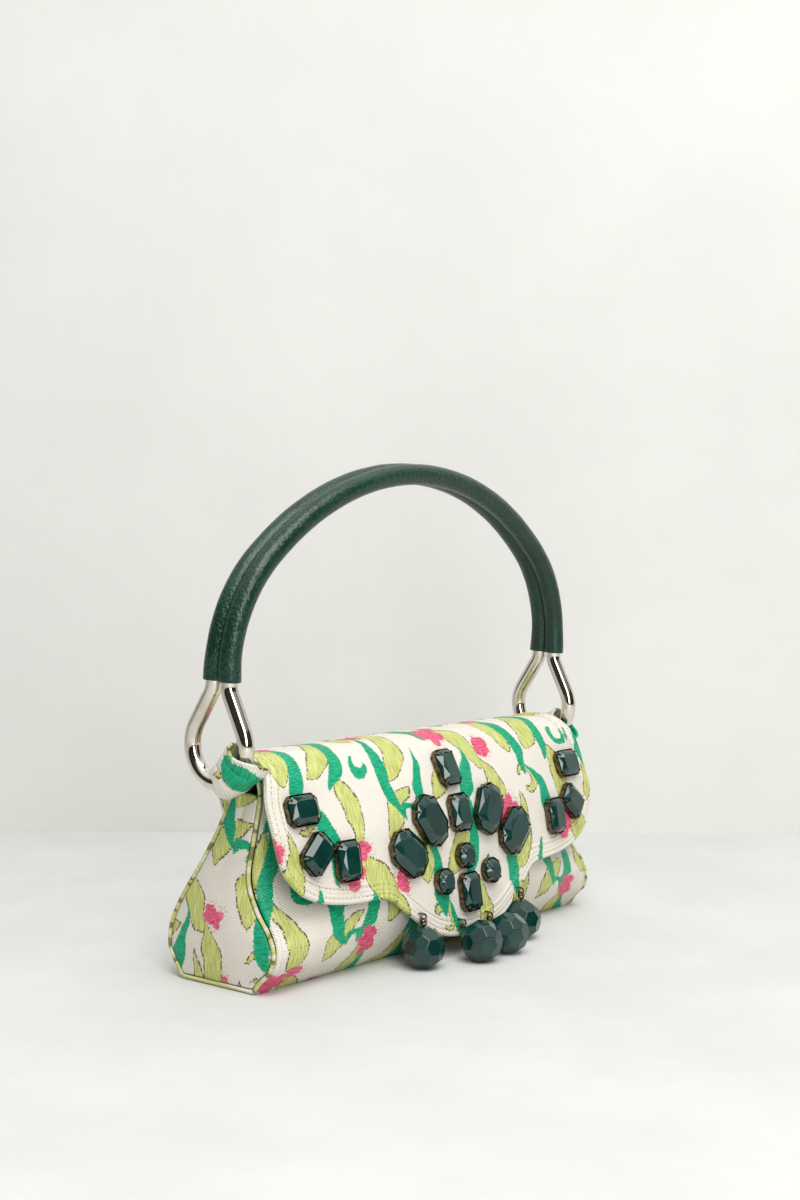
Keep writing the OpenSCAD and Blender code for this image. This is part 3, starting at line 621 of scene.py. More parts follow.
def cut_from(piece):
    """Prints the size of a piece's cut; a bent strip's size as a straight one is worked out but not used.
    """
    width, length, area = cut_size(piece)
    print(f"{piece.name}: cut {width / MM:.0f} x {length / MM:.0f} mm, {area / MM ** 2:.0f} mm2")
    if area < BENT_STRIP_SHARE * width * length:
        width, length = area / (width + length), width + length
    min(area, width * length)


def finish_piece(bm, name, body, finish, replaces=(), wall=0, smooth=True):
    mesh = bpy.data.meshes.new(name)
    bm.to_mesh(mesh)
    bm.free()
    mesh.polygons.foreach_set("use_smooth", [smooth] * len(mesh.polygons))
    mesh.materials.append(FINISH[finish])
    piece = bpy.data.objects.new(name, mesh)
    bpy.context.collection.objects.link(piece)
    if wall:
        thick = piece.modifiers.new("cloth thickness", "SOLIDIFY")
        thick.thickness = wall * MM
        thick.offset = -1
        thick.use_even_offset = False
    if body:
        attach(piece, body)
    if replaces:
        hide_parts(*replaces)
    print(name, "has", len(mesh.polygons), "faces")
    return piece


def cloth_piece(bm, name, body, finish, replaces, wall, rests_on):
    """A piece of brocade or lining, whose cut size is printed."""
    cut_from(finish_piece(bm, name, body, finish, replaces, wall))


def cloth_grid(columns, rows, place, flat):
    """A grid laid on a surface. place and flat take shares from 0 to 1 and give millimetres."""
    bm = bmesh.new()
    bmesh.ops.create_grid(bm, x_segments=columns, y_segments=rows, size=1)
    layer = bm.loops.layers.uv.new("cloth")
    shares = {vert: ((vert.co.x + 1) / 2, (vert.co.y + 1) / 2) for vert in bm.verts}
    for vert, (u, v) in shares.items():
        cut = Vector(flat(u, v)) * MM
        for loop in vert.link_loops:
            loop[layer].uv = cut
        vert.co = Vector(place(u, v)) * MM
    return bm


def facing(place, u, v, small=0.002):
    """The outward side of a surface at one place."""
    over = place(min(1, u + small), v) - place(max(0, u - small), v)
    up = place(u, min(1, v + small)) - place(u, max(0, v - small))
    return over.cross(up).normalized()


class Ruler:
    """Measures a curve once, and then gives the share at each distance along it and the other way."""

    def __init__(self, place, low, high, steps=200):
        self.shares = [low + (high - low) * i / steps for i in range(steps + 1)]
        points = [Vector(place(share)) for share in self.shares]
        self.lengths = [0.0]
        for a, b in zip(points, points[1:]):
            self.lengths.append(self.lengths[-1] + (b - a).length)
        self.length = self.lengths[-1]

    def read(self, value, known, wanted):
        if value <= known[0]:
            return wanted[0]
        for i in range(1, len(known)):
            if value <= known[i]:
                return mix(wanted[i - 1], wanted[i], (value - known[i - 1]) / (known[i] - known[i - 1]))
        return wanted[-1]

    def share_at(self, length):
        return self.read(length, self.lengths, self.shares)

    def length_at(self, share):
        return self.read(share, self.shares, self.lengths)


# %% [markdown]
# ## The body: front, back and base
# The body is one soft shell that sags: full in the middle, pinched in above its lower corners, with a foot
# that tucks under to a narrower base. The front and back are cut in one width each. Beside the end seams a
# stay tape is sewn in with two rows of stitches, which draw shallow grooves in the cloth.

# %% Front and back panels
EDGE_ROWS = (2.6, 9.4)
GROOVE_DEPTH = 0.4
GROOVE_WIDTH = 0.9
PANEL_COLUMNS = 150
PANEL_ROWS = 84
DENT = 0.7
DENT_SIZE = 34
DENT_START = 14
TAPE_LIFT = 0.35
TAPE_EDGE = (11.5, 9.6)
SEAM_ROLL = 1.1


def groove(distance):
    """How far the stitch rows draw the cloth in, at a distance from the seam."""
    return sum(GROOVE_DEPTH * math.exp(-((distance - row) / GROOVE_WIDTH) ** 2) for row in EDGE_ROWS)


def panel_place(side):
    def bare(u, v):
        return skin_point(side, side * (1 - 2 * u), BODY_ROWS * v)

    def place(u, v):
        point = bare(u, v)
        seam = end_x(point.z) - abs(point.x)
        soft = DENT * ruffle(point, DENT_SIZE, side) * between(0, DENT_START, seam) * between(0, 0.1, v)
        tape = TAPE_LIFT * between(*TAPE_EDGE, seam)
        rolled = SEAM_ROLL * math.exp(-((seam / SEAM_ROLL) ** 2))
        return point + facing(bare, u, v) * (soft + tape - groove(seam) - rolled)
    return place


def panel(side, name, finish, replaced):
    place = panel_place(side)
    ruler = Ruler(lambda v: place(0.5, v), 0, 1)
    heights = [ruler.length_at(i / 100) for i in range(101)]

    def flat(u, v):
        return (side * (1 - 2 * u) * HALF_LENGTH, heights[round(100 * v)])
    bm = cloth_grid(PANEL_COLUMNS, PANEL_ROWS, place, flat)
    cloth_piece(bm, name, "bag", finish, [replaced], CLOTH_WALL, ["base_board"])
    return ruler.length


front_drop = panel(-1, "body_front", "front", "front_panel")
panel(1, "body_back", "back", "back_panel")
print("front cut, mm:", BODY_LENGTH, "by", round(front_drop))

# %% [markdown]
# ## The end panels and the base
# Each end panel is a narrow triangle-like shape with its widest place low down. It is held between the
# front and back by piped seams, swells a little outwards, and folds in softly where the mouth closes.

# %% End panels and base
GUSSET_INSET = 2.8
GUSSET_LOW = 2.9
GUSSET_SWELL = 3
GUSSET_FOLD = 0.24
GUSSET_CREASE = 1.5
# The end panel stops one of the section's rows below the mouth
GUSSET_ROWS = BODY_ROWS - 1


def seam_point(side, t, inset):
    """A point of an end seam in the plane of the end, moved in from the outline."""
    end = SECTIONS[side][1]
    here = Vector(along(end, t))
    way = (Vector(along(end, min(t + 0.1, BODY_ROWS))) - Vector(along(end, max(t - 0.1, 0)))).normalized()
    return here + inset * Vector((-side * way[1], side * way[0]))


def gusset_place(hand, at=0.0):
    def place(u, v):
        t = GUSSET_ROWS * min(1, v)
        front, back = seam_point(-1, t, GUSSET_INSET), seam_point(1, t, GUSSET_INSET)
        y, z = front.lerp(back, u if hand > 0 else 1 - u)
        z = max(z, GUSSET_LOW)
        fold = GUSSET_FOLD * between(0.45, 1, v) * math.cos(4 * math.pi * u)
        out = GUSSET_SWELL * math.sin(math.pi * u) * math.sin(math.pi * v) - at
        crease = GUSSET_CREASE * between(0.4, 0.95, v) * math.exp(-((u - 0.5) / 0.16) ** 2)
        return Vector((hand * (end_x(z) + SEAM_GAP + CLOTH_WALL + out - crease + fold), y, z))
    return place


def gusset(hand, name, replaced):
    place = gusset_place(hand)

    def flat(u, v):
        point = place(u, v)
        return (hand * point.y, point.z)
    bm = cloth_grid(40, 60, place, flat)
    cloth_piece(bm, name, "bag", "end panels", [replaced], CLOTH_WALL, ["base_board"])


gusset(-1, "end_panel_left", "gusset_left")
gusset(1, "end_panel_right", "gusset_right")

BASE_WALL = 1.2
BASE_CLEARANCE = 0.4
BASE_ARCH = 2.2
BASE_ARCH_HALF = 70
low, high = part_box("base_panel")
base_size = [(b - a) / MM for a, b in zip(low, high)]


def base_place(u, v):
    x, y = (u - 0.5) * base_size[0], (v - 0.5) * base_size[1]
    lift = BASE_ARCH * math.exp(-((x / BASE_ARCH_HALF) ** 2)) * between(0.2, 0.0, v)
    return Vector((x, y, BASE_CLEARANCE + lift))


bm = cloth_grid(100, 24, base_place, lambda u, v: base_place(u, v)[:2])
bmesh.ops.reverse_faces(bm, faces=bm.faces)
cloth_piece(bm, "body_base", "bag", "base", ["base_panel"], BASE_WALL, ["base_board"])

# %% [markdown]
# ## Piping
# The end seams are piped: a thin cord in a bias strip of the same brocade. It starts at the front of the
# mouth, runs down, under the end panel and up its back. The strip is too narrow to show a figure, so the
# colours of the silk only pass by along it.

# %% Piping
PIPING_RINGS = 150
PIPING_SIDES = 12
PIPING_STRIP = 7.5


def piping_path(hand, share):
    t = BODY_ROWS * abs(1 - 2 * share)
    side = -1 if share < 0.5 else 1
    point = seam_point(side, t, PIPING_R)
    z = max(point[1], PIPING_R + SEAM_GAP / 2)
    return Vector((hand * (end_x(z) + PIPING_R + SEAM_GAP), point[0], z))


def piping(hand, name, replaced):
    def path(share):
        return piping_path(hand, share)

    ruler = Ruler(path, 0, 1)
    print(name, "runs", round(ruler.length), "mm from the front's top edge to the back's")

    def place(u, v):
        here = path(v)
        way = (path(min(1, v + 0.004)) - path(max(0, v - 0.004))).normalized()
        across = Vector((1, 0, 0))
        up = across.cross(way).normalized()
        turn = 2 * math.pi * u
        return here + 0.85 * PIPING_R * (math.cos(turn) * across + math.sin(turn) * up)
    bm = cloth_grid(PIPING_SIDES, PIPING_RINGS, place, lambda u, v: (PIPING_STRIP * u, ruler.length * v))
    bmesh.ops.remove_doubles(bm, verts=bm.verts, dist=ONE_PLACE)
    bmesh.ops.holes_fill(bm, edges=bm.edges, sides=PIPING_SIDES)
    bmesh.ops.recalc_face_normals(bm, faces=bm.faces)
    finish_piece(bm, name, "bag", "piping", [replaced])


piping(-1, "piping_cord_left", "piping_left")
piping(1, "piping_cord_right", "piping_right")

# %% [markdown]
# ## Lining and pocket
# Inside hangs a bag of satin, a little smaller than the shell, with a slip pocket on its back wall. It is
# made as the shell is, set in by the thickness of the brocade.

# %% Lining
PLEATS = 0.35
PLEAT_SIZE = 22
LINING_SHARE = 0.985
LINING_ROWS = (0.045, 1.0)
POCKET_ROWS = (0.444, 0.9)
POCKET_SPAN = (0.36, 0.64)
END_LINING_CUT = 40


def lining_panel(side, name, replaced, at=LINING_AT, rows=LINING_ROWS, span=(0.0, 1.0)):
    def bare(u, v):
        share = side * (1 - 2 * mix(*span, u)) * LINING_SHARE
        return skin_point(side, share, BODY_ROWS * mix(*rows, v))

    def place(u, v):
        point = bare(u, v)
        return point - facing(bare, u, v) * (at + PLEATS * max(0, ruffle(point, PLEAT_SIZE, 5 + side)))
    wide, high = (span[1] - span[0]) * BODY_LENGTH, (rows[1] - rows[0]) * BODY_HEIGHT
    bm = cloth_grid(60, 40, place, lambda u, v: (u * wide, v * high))
    cloth_piece(bm, name, "bag", "lining", [replaced], LINING_WALL, ["body_front", "body_back"])


lining_panel(-1, "lining_satin_front", "lining_front")
lining_panel(1, "lining_satin_back", "lining_back")
lining_panel(1, "pocket_satin", "slip_pocket", LINING_AT + LINING_WALL + SEAM_GAP, POCKET_ROWS, POCKET_SPAN)
for hand, word in ((-1, "left"), (1, "right")):
    place = gusset_place(hand, LINING_AT)
    bm = cloth_grid(16, 30, place, lambda u, v: (END_LINING_CUT * u, BODY_HEIGHT * v))
    cloth_piece(bm, "lining_satin_" + word, "bag", "lining", ["lining_" + word], LINING_WALL,
                ["end_panel_" + word])
low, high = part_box("lining_base")


def lining_base_place(u, v):
    return Vector((mix(low[0], high[0], u), mix(low[1], high[1], v), high[2])) / MM


bm = cloth_grid(50, 16, lining_base_place, lambda u, v: (BODY_LENGTH * u, 2 * HALF_BASE * v))
cloth_piece(bm, "lining_satin_base", "bag", "lining", ["lining_base"], LINING_WALL,
            ["base_board"])

# %% [markdown]
# ## The flap as a flat pattern
# The flap folds over the top of the bag and falls down its front. Its lower edge is scalloped: a pointed
# tongue in the middle and a rounded lobe on each side. A band is sewn along that edge, so it helps to think
# of the flap as flat cloth: x along the bag, and s, the distance from the back seam down the profile.

# %% The flap's surface
PROFILE = [(y * HALF_DEPTH, z * TOP_FOLD_Z) for y, z in FLAP_PROFILE]
LAST_ROW = len(PROFILE) - 1
profile_ruler = Ruler(lambda t: (0, *along(PROFILE, t)), 0, LAST_ROW, 400)


def flap_row(z):
    """Row of the profile at which the front of the flap reaches height z."""
    for i in range(3, LAST_ROW + 1):
        if PROFILE[i][1] <= z:
            high, low = PROFILE[i - 1][1], PROFILE[i][1]
            return i - 1 + (high - z) / (high - low)
    return LAST_ROW


def flap_half_at(t):
    return mix(FLAP_TOP_HALF, FLAP_HALF, between(*WIDEN_ROWS, t))


def flap_point(q, t):
    y, z = along(PROFILE, t)
    back = LOBE_FALL * between(*FALL_ROWS, t) * between(*LOBE_SHARES, abs(q))
    return Vector((q * flap_half_at(t), y + back, z))


def flap_spot(x, s, lift=0.0):
    """A point of the flap from its place on the flat cloth, raised from the inner face."""
    def bare(x, s):
        t = profile_ruler.share_at(s)
        return flap_point(x / flap_half_at(t), t)
    here = bare(x, s)
    side = (bare(x + 0.5, s) - bare(x - 0.5, s)).cross(bare(x, s - 0.5) - bare(x, s + 0.5)).normalized()
    return here + lift * side


EDGE_LAST = len(FLAP_EDGE) - 1


def edge_flat(e):
    """The lower edge on the flat cloth, from the tip of the tongue (0) round a lobe to its side."""
    q, z = along(FLAP_EDGE, abs(e))
    t = flap_row(z * TOP_FOLD_Z)
    return math.copysign(min(1, q) * flap_half_at(t), e), profile_ruler.length_at(t)


side_s = edge_flat(EDGE_LAST)[1]
print("flap drop at the tongue, mm:", round(edge_flat(0)[1]), "and at its sides:", round(side_s))

# %% [markdown]
# ## The flap's cloth
# The columns of the grid follow the edge's own points, so that the scallops come out smooth without many
# rows. The cloth lies on the lining, a little padded by its interfacing, and shows a soft dent here and
# there where the stones are sewn through.

# %% Flap cloth and lining
FLAP_COLUMNS = 190
FLAP_ROWS = 96
FLAP_WALL = 2.0
FLAP_DENT = 0.35
FLAP_DENT_SIZE = 30


def flap_place(lift, stop=1.0):
    def place(u, v):
        x, drop = edge_flat(EDGE_LAST * (2 * u - 1))
        s = drop * stop * (1 - v)
        t = profile_ruler.share_at(s)
        x *= flap_half_at(t) / flap_half_at(profile_ruler.share_at(drop))
        soft = FLAP_DENT * ruffle((x, s, 0), FLAP_DENT_SIZE, 3) * between(0, 20, s)
        return flap_spot(x, s, lift + soft)
    return place


def flap_flat(u, v):
    x, s = edge_flat(EDGE_LAST * (2 * u - 1))
    return (x, -s * (1 - v))


bm = cloth_grid(FLAP_COLUMNS, FLAP_ROWS, flap_place(FLAP_SKIN), flap_flat)
cloth_piece(bm, "flap_cloth", "flap", "flap", ["flap", "flap_interfacing"], FLAP_WALL,
            ["body_front", "body_back"])
bm = cloth_grid(100, 50, flap_place(LINING_WALL, 0.995), flap_flat)
cloth_piece(bm, "flap_satin", "flap", "lining", ["flap_lining"], LINING_WALL, ["flap_cloth"])

# %% The cloth hinge behind the flap
# The flap's cloth runs on down the back as far as the seam.
ROOT_SECTION = [(11.3, 90.5), (8.6, 97), (7.2, 101.5), (6.7, 104.3), (5.2, 106.3), (2.2, 107.4)]
ROOT_HALF = 117
ROOT_WALL = 0.6
ROOT_DENT = 0.25
root_ruler = Ruler(lambda v: (*along(ROOT_SECTION, (len(ROOT_SECTION) - 1) * v), 0), 0, 1)


def root_place(u, v):
    y, z = along(ROOT_SECTION, (len(ROOT_SECTION) - 1) * v)
    soft = ROOT_DENT * ruffle((120 * u, z, 4), 28, 6) * math.sin(math.pi * v)
    return Vector((ROOT_HALF * (1 - 2 * u), y + soft, z))


bm = cloth_grid(60, 14, root_place, lambda u, v: (2 * ROOT_HALF * (1 - u), root_ruler.length * v))
flap_root = finish_piece(bm, "flap_root", None, "flap", wall=ROOT_WALL)
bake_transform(flap_root)
cut_from(flap_root)

# %% [markdown]
# ## The flap's band
# A strip of brocade is folded over the flap's edge and stitched down with two rows. Its section is drawn
# once, from its inner fold over a thick rolled edge to the underside, and carried round the scallops.

# %% Flap band
# Distance inwards from the flap's edge, and height over its cloth
BAND_SECTION = [(8.6, -0.25), (8.75, 0.2), (8.3, 0.55), (7.2, 0.6), (6.4, 0.62), (5.0, 0.74),
                (4.2, 0.5), (3.4, 0.72), (2.4, 0.66), (1.5, 0.72), (0.6, 0.6), (0.05, 0.2),
                (-0.25, -0.5), (-0.05, -1.05), (-0.3, -1.6), (0.15, -2.15), (1.0, -2.4), (2.2, -2.35)]
STITCH_INSETS = (2.4, 6.8)
BAND_WALL = 0.4
BAND_GROOVE = 0.22
BAND_PUCKER = 0.1
BAND_STEP = 1.2
band_ruler = Ruler(lambda e: (*edge_flat(e), 0), 0, EDGE_LAST, 300)
BAND_HALF = band_ruler.length + side_s


def band_line(length):
    """The edge of the flap on the flat cloth, by signed distance from the tip of the tongue."""
    far = abs(length)
    if far <= band_ruler.length:
        x, s = edge_flat(band_ruler.share_at(far))
    else:
        s = max(0.0, side_s - (far - band_ruler.length))
        x = flap_half_at(profile_ruler.share_at(s))
    return Vector((math.copysign(x, length), s))


def band_flat(length, inset):
    after, before = min(BAND_HALF, length + BAND_STEP), max(-BAND_HALF, length - BAND_STEP)
    way = (band_line(after) - band_line(before)).normalized()
    return band_line(length) + inset * Vector((way.y, -way.x))


def band_place(u, v):
    inset, lift = along(BAND_SECTION, v * (len(BAND_SECTION) - 1))
    length = BAND_HALF * (2 * u - 1)
    x, s = band_flat(length, inset)
    if lift > 0:
        lift -= sum(BAND_GROOVE * math.exp(-((inset - row) / 0.7) ** 2) for row in STITCH_INSETS)
    pucker = BAND_PUCKER * math.sin(length * 2.1) * between(9, 2, abs(inset))
    return flap_spot(x, max(0.0, s), FLAP_SKIN + lift + pucker)


def band_cut(u, v):
    inset, _ = along(BAND_SECTION, v * (len(BAND_SECTION) - 1))
    x, s = band_flat(BAND_HALF * (2 * u - 1), inset - 24 * max(0, v - 0.65) ** 2)
    return x, -s


bm = cloth_grid(420, 51, band_place, band_cut)
bmesh.ops.reverse_faces(bm, faces=bm.faces)
cloth_piece(bm, "flap_band", "flap", "flap", ["flap_border"], BAND_WALL, ["flap_cloth"])

# %% [markdown]
# ## Stitches
# Every row of stitches is a string of small cushions of thread, each a squashed ball laid along the seam.
# One ball has few faces, because a row holds hundreds of them.

# %% Stitch rows
STITCH_PITCH = 2.7
STITCH_LENGTH = 1.9
STITCH_RADIUS = 0.2
FLAP_THREAD_LIFT = 0.45
BODY_THREAD_LIFT = 0.05
BODY_ROW_START = 0.07
BODY_ROW_LENGTH = 112


def add_stitch(bm, start, end, side):
    """One stitch from start to end, standing half proud of the cloth whose outward side is given."""
    way = (end - start).normalized()
    across = side.cross(way).normalized()
    turn = Matrix((way, across, way.cross(across))).transposed().to_4x4()
    size = Matrix.Diagonal((STITCH_LENGTH / 2, STITCH_RADIUS, STITCH_RADIUS, 1))
    place = Matrix.Translation((start + end) / 2 * MM) @ turn @ Matrix.Scale(MM, 4) @ size
    bmesh.ops.create_uvsphere(bm, u_segments=6, v_segments=5, radius=1,
                              matrix=place @ Matrix.Rotation(math.pi / 2, 4, "Y"))


def stitch_row(bm, path, length, pitch=STITCH_PITCH):
    """Stitches along path(distance), which gives a point and an outward side."""
    for i in range(int(length / pitch)):
        start, side = path((i + 0.15) * pitch)
        end, _ = path((i + 0.85) * pitch)
        add_stitch(bm, start, end, side)


def flap_row_path(inset):
    def path(distance):
        length = distance - BAND_HALF
        x, s = band_flat(length, inset)
        lifted = FLAP_SKIN + FLAP_THREAD_LIFT
        here, above = flap_spot(x, max(0.0, s), lifted), flap_spot(x, max(0.0, s), lifted + 1)
        return here, (above - here).normalized()
    return path


def panel_row_path(side, hand, row):
    place = panel_place(side)

    def path(distance):
        v = BODY_ROW_START + distance / 125
        z = place(0.5, v).z
        share = 1 - row / end_x(z)
        u = 0.5 * (1 - side * hand * share)
        out = facing(place, u, v)
        return place(u, v) + BODY_THREAD_LIFT * out, out
    return path


bm = bmesh.new()
for inset in STITCH_INSETS:
    stitch_row(bm, flap_row_path(inset), 2 * BAND_HALF)
finish_piece(bm, "flap_stitches", "flap", "thread")
bm = bmesh.new()
for side in (-1, 1):
    for hand in (-1, 1):
        for row in EDGE_ROWS:
            stitch_row(bm, panel_row_path(side, hand, row), BODY_ROW_LENGTH)
finish_piece(bm, "body_stitches", "bag", "thread")

# %% [markdown]
# ## Glass stones
# Each stone is a block whose corners are cut by a bevel. An inset on top makes the table, and lowering the
# rim gives the crown. Poking the crown's faces breaks each into four narrow facets, which is what makes the
# bright hourglass on a stone's long side.

# %% Stones and cups
STONE_HEIGHT = 5.5
GIRDLE = 3.2
STONE_BASE = 0.73
CUP_HEIGHT = 3.0
CUP_WALL = 0.6
SMALL_STONE = (13.5, 18, 0.2)
LARGE_STONE = (18, 25, 0.3)
ROUND_STONE = 12
TABLE_INSET = 0.2
FACET_POKE = 0.3
FACET_EDGE = 0.09
CUP_EDGE = 0.12
CLAW_STEPS = 5
CLAW_HIGH = (0.7, 4.1)
CLAW_RADII = (0.72, 0.62)
CLAW_LEAN = 0.9
CLAW_OUT = 0.35
ROUND_CLAW_OUT = 0.3
SEAT_DEPTH = 0.05
BAND_IN = FLAP_HALF - BORDER_WIDTH
# Each place is a share of the flap's half length, a share of its height and a turn in degrees
SMALL_PLACES = [(0, 0.851, 0), (0, 0.655, 0), (0, 0.285, 0)] + [
    (hand * (BAND_IN - inward * SMALL_STONE[1]) / FLAP_HALF, z, hand * turn)
    for inward, z, turn in ((0.58, 0.776, 90), (0.79, 0.594, 48), (1.84, 0.542, 0)) for hand in (-1, 1)]
LARGE_PLACES = [(-0.19, 0.645, 30), (-0.343, 0.521, 50), (0.19, 0.645, -30), (0.343, 0.521, -50)]
ROUND_PLACES = [(-0.152, 0.352, 0), (0.152, 0.352, 0), (0, 0.452, 0)]


def seat(place):
    """The matrix that stands a stone, drawn in millimetres, square to the flap."""
    q, z, turn = place
    t = flap_row(z * TOP_FOLD_Z)
    step, dq = 0.2, 0.02
    here = flap_point(q, t)
    up = flap_point(q, t - step) - flap_point(q, t + step)
    side = (flap_point(q + dq, t) - flap_point(q - dq, t)).cross(up).normalized()
    lean = Matrix.Rotation(math.acos(side.z), 4, "X") @ Matrix.Rotation(math.radians(turn), 4, "Z")
    stand = Matrix.Rotation(math.atan2(side.x, -side.y), 4, "Z") @ lean
    return Matrix.Translation((here + STONE_SEAT * side) * MM) @ stand @ Matrix.Scale(MM, 4)


def bevel(bm, items, width, rows=1, affect="EDGES"):
    bmesh.ops.bevel(bm, geom=items, offset=width, segments=rows, profile=0.5, affect=affect, material=-1)


def top_face(bm):
    return max(bm.faces, key=lambda face: face.calc_center_median().z)


def block(bm, width, length, low, high, cut):
    """A cut-cornered block; gives its top face."""
    size = Matrix.Diagonal((width, length, high - low, 1))
    made = bmesh.ops.create_cube(bm, size=1, matrix=Matrix.Translation((0, 0, (low + high) / 2)) @ size)
    edges = {edge for vert in made["verts"] for edge in vert.link_edges}
    bevel(bm, [edge for edge in edges if abs(edge.verts[0].co.z - edge.verts[1].co.z) > 0.1], cut)
    return top_face(bm)


def add_loose(bm, other, matrix):
    """Adds a finished little mesh to a bigger one, at a place."""
    other.transform(matrix)
    mesh = bpy.data.meshes.new("loose")
    other.to_mesh(mesh)
    other.free()
    bm.from_mesh(mesh)
    bpy.data.meshes.remove(mesh)


def crown(bm, top, table_inset, poke):
    """Cuts the crown of a stone round its table, and breaks its facets larger than poke."""
    made = bmesh.ops.inset_region(bm, faces=[top], thickness=table_inset, depth=0, use_even_offset=True)
    for vert in top.verts:
        vert.co.z = STONE_HEIGHT
    sides = [face for face in made["faces"] if face.calc_area() > poke]
    bmesh.ops.poke(bm, faces=sides, offset=FACET_POKE)
    edges = [edge for edge in bm.edges if max(vert.co.z for vert in edge.verts) > GIRDLE - 0.1]
    bevel(bm, edges, FACET_EDGE)


def oblong_stone(width, length, cut):
    bm = bmesh.new()
    top = block(bm, width, length, STONE_BASE, GIRDLE, width * cut)
    crown(bm, top, width * TABLE_INSET, width * 0.9)
    return bm


def round_stone(width):
    bm = bmesh.new()
    middle = Matrix.Translation((0, 0, (GIRDLE + STONE_BASE) / 2))
    bmesh.ops.create_cone(bm, cap_ends=True, segments=12, radius1=width / 2, radius2=width / 2,
                          depth=GIRDLE - STONE_BASE, matrix=middle)
    crown(bm, top_face(bm), width * TABLE_INSET, 0.5)
    return bm


def hollow(bm, top):
    """Sinks a seat for the stone into a cup's top face."""
    bmesh.ops.inset_region(bm, faces=[top], thickness=CUP_WALL, depth=0, use_even_offset=True)
    for vert in top.verts:
        vert.co.z = STONE_BASE - SEAT_DEPTH


def claw(bm, x, y):
    """A prong that leans over the stone's edge, its rounded tip bright with wear."""
    lean = Vector((-x, -y, 0)).normalized()
    for step in range(CLAW_STEPS):
        share = step / (CLAW_STEPS - 1)
        middle = Vector((x, y, mix(*CLAW_HIGH, share))) + lean * (CLAW_LEAN * share ** 2)
        bmesh.ops.create_uvsphere(bm, u_segments=10, v_segments=7, radius=mix(*CLAW_RADII, share),
                                  matrix=Matrix.Translation(middle))


def oblong_cup(width, length, cut):
    bm = bmesh.new()
    grow = 2 * CUP_WALL + SEAM_GAP
    top = block(bm, width + grow, length + grow, 0, CUP_HEIGHT, width * cut + 0.3)
    hollow(bm, top)
    bevel(bm, bm.edges[:], CUP_EDGE, 2)
    inward = CLAW_OUT - width * cut / 2
    for x in (-1, 1):
        for y in (-1, 1):
            claw(bm, x * (width / 2 + inward), y * (length / 2 + inward))
    return bm


def round_cup(width):
    bm = bmesh.new()
    bmesh.ops.create_cone(bm, cap_ends=True, segments=40, radius1=width / 2 + CUP_WALL, depth=CUP_HEIGHT,
                          radius2=width / 2 + CUP_WALL, matrix=Matrix.Translation((0, 0, CUP_HEIGHT / 2)))
    hollow(bm, top_face(bm))
    reach = width / 2 + ROUND_CLAW_OUT
    for turn in (45, 135, 225, 315):
        claw(bm, reach * math.cos(math.radians(turn)), reach * math.sin(math.radians(turn)))
    return bm


def set_of(name, places, make, slot, finish, replaced, *sizes):
    bm = bmesh.new()
    for place in places:
        add_loose(bm, make(*sizes), seat(place))
    bmesh.ops.recalc_face_normals(bm, faces=bm.faces)
    finish_piece(bm, name, "flap", finish, [replaced], smooth=False)


for word, places, sizes in (("small", SMALL_PLACES, SMALL_STONE), ("large", LARGE_PLACES, LARGE_STONE)):
    set_of(word + "_cut_stones", places, oblong_stone, "stone", "stone", word + "_stones", *sizes)
    set_of(word + "_cups", places, oblong_cup, "aged_brass", "bronze", word + "_settings", *sizes)
set_of("round_cut_stones", ROUND_PLACES, round_stone, "stone", "stone", "round_stones", ROUND_STONE)
set_of("round_cups", ROUND_PLACES, round_cup, "aged_brass", "bronze", "round_settings", ROUND_STONE)

# %% [markdown]
# ## Hanging beads
# A ball with twelve five-sided and twenty six-sided facets comes from a simple solid: an icosahedron whose
# corners are cut off a third of the way along its edges. A vertex bevel does exactly that. A second, tiny
# bevel rounds the edges, so that each catches a thin line of light.

# %% Beads
BEAD_R = 10.65
BEAD_EDGE = 0.16
CUT_SHARE = 1 / 3
# The radius of the uncut solid, as a share of the finished bead's
UNCUT_SHARE = 1.1513
bead_turns = {"outer_left": 0, "inner_left": -67, "inner_right": -67, "outer_right": 0}


def bead(name, turn):
    low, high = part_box("bead_" + name)
    middle = (Vector(low) + Vector(high)) / 2
    bm = bmesh.new()
    bmesh.ops.create_icosphere(bm, subdivisions=1, radius=BEAD_R * UNCUT_SHARE)
    side = bm.edges[:][0].calc_length()
    bevel(bm, bm.verts[:], side * CUT_SHARE, affect="VERTICES")
    bmesh.ops.remove_doubles(bm, verts=bm.verts, dist=0.05)
    bevel(bm, bm.edges[:], BEAD_EDGE, 2)
    print("bead facets:", len(bm.faces), "corner radius:", round(max(v.co.length for v in bm.verts), 2))
    stand = Matrix.Rotation(math.radians(turn), 4, "X")
    bm.transform(Matrix.Translation(middle) @ stand @ Matrix.Scale(MM, 4))
    finish_piece(bm, "cut_bead_" + name, "hanging_bead_" + name, "stone", ["bead_" + name],
                 smooth=False)


for name, turn in bead_turns.items():
    bead(name, turn)

# %% [markdown]
# ## Rings
# Each ring is one nickel rod, bent to a drop: a round bottom, two straight sides that close in, and a
# reverse bend into two legs that are pushed into the leather. A circle is spun round the bottom, run out
# along the sides and spun back, so the rod keeps its thickness everywhere.

# %% Sweeping an outline along runs and arcs
RING_LEAN = 4
RING_TURN = Matrix.Rotation(math.radians(RING_LEAN), 4, "X")
RING_PLACE = Matrix.Translation((0, -RING_FRONT, RING_Z)) @ RING_TURN
TO_METRES = Matrix.Scale(MM, 4)
HANDLE_X = 129


def ends_of(result):
    return [item for item in result if isinstance(item, bmesh.types.BMEdge)]


def sweep_arc(bm, edges, centre, axis, degrees, steps):
    made = bmesh.ops.spin(bm, geom=edges, cent=centre, axis=axis, dvec=(0, 0, 0), steps=steps,
                          angle=math.radians(degrees), use_merge=False, use_duplicate=False)
    return ends_of(made["geom_last"])


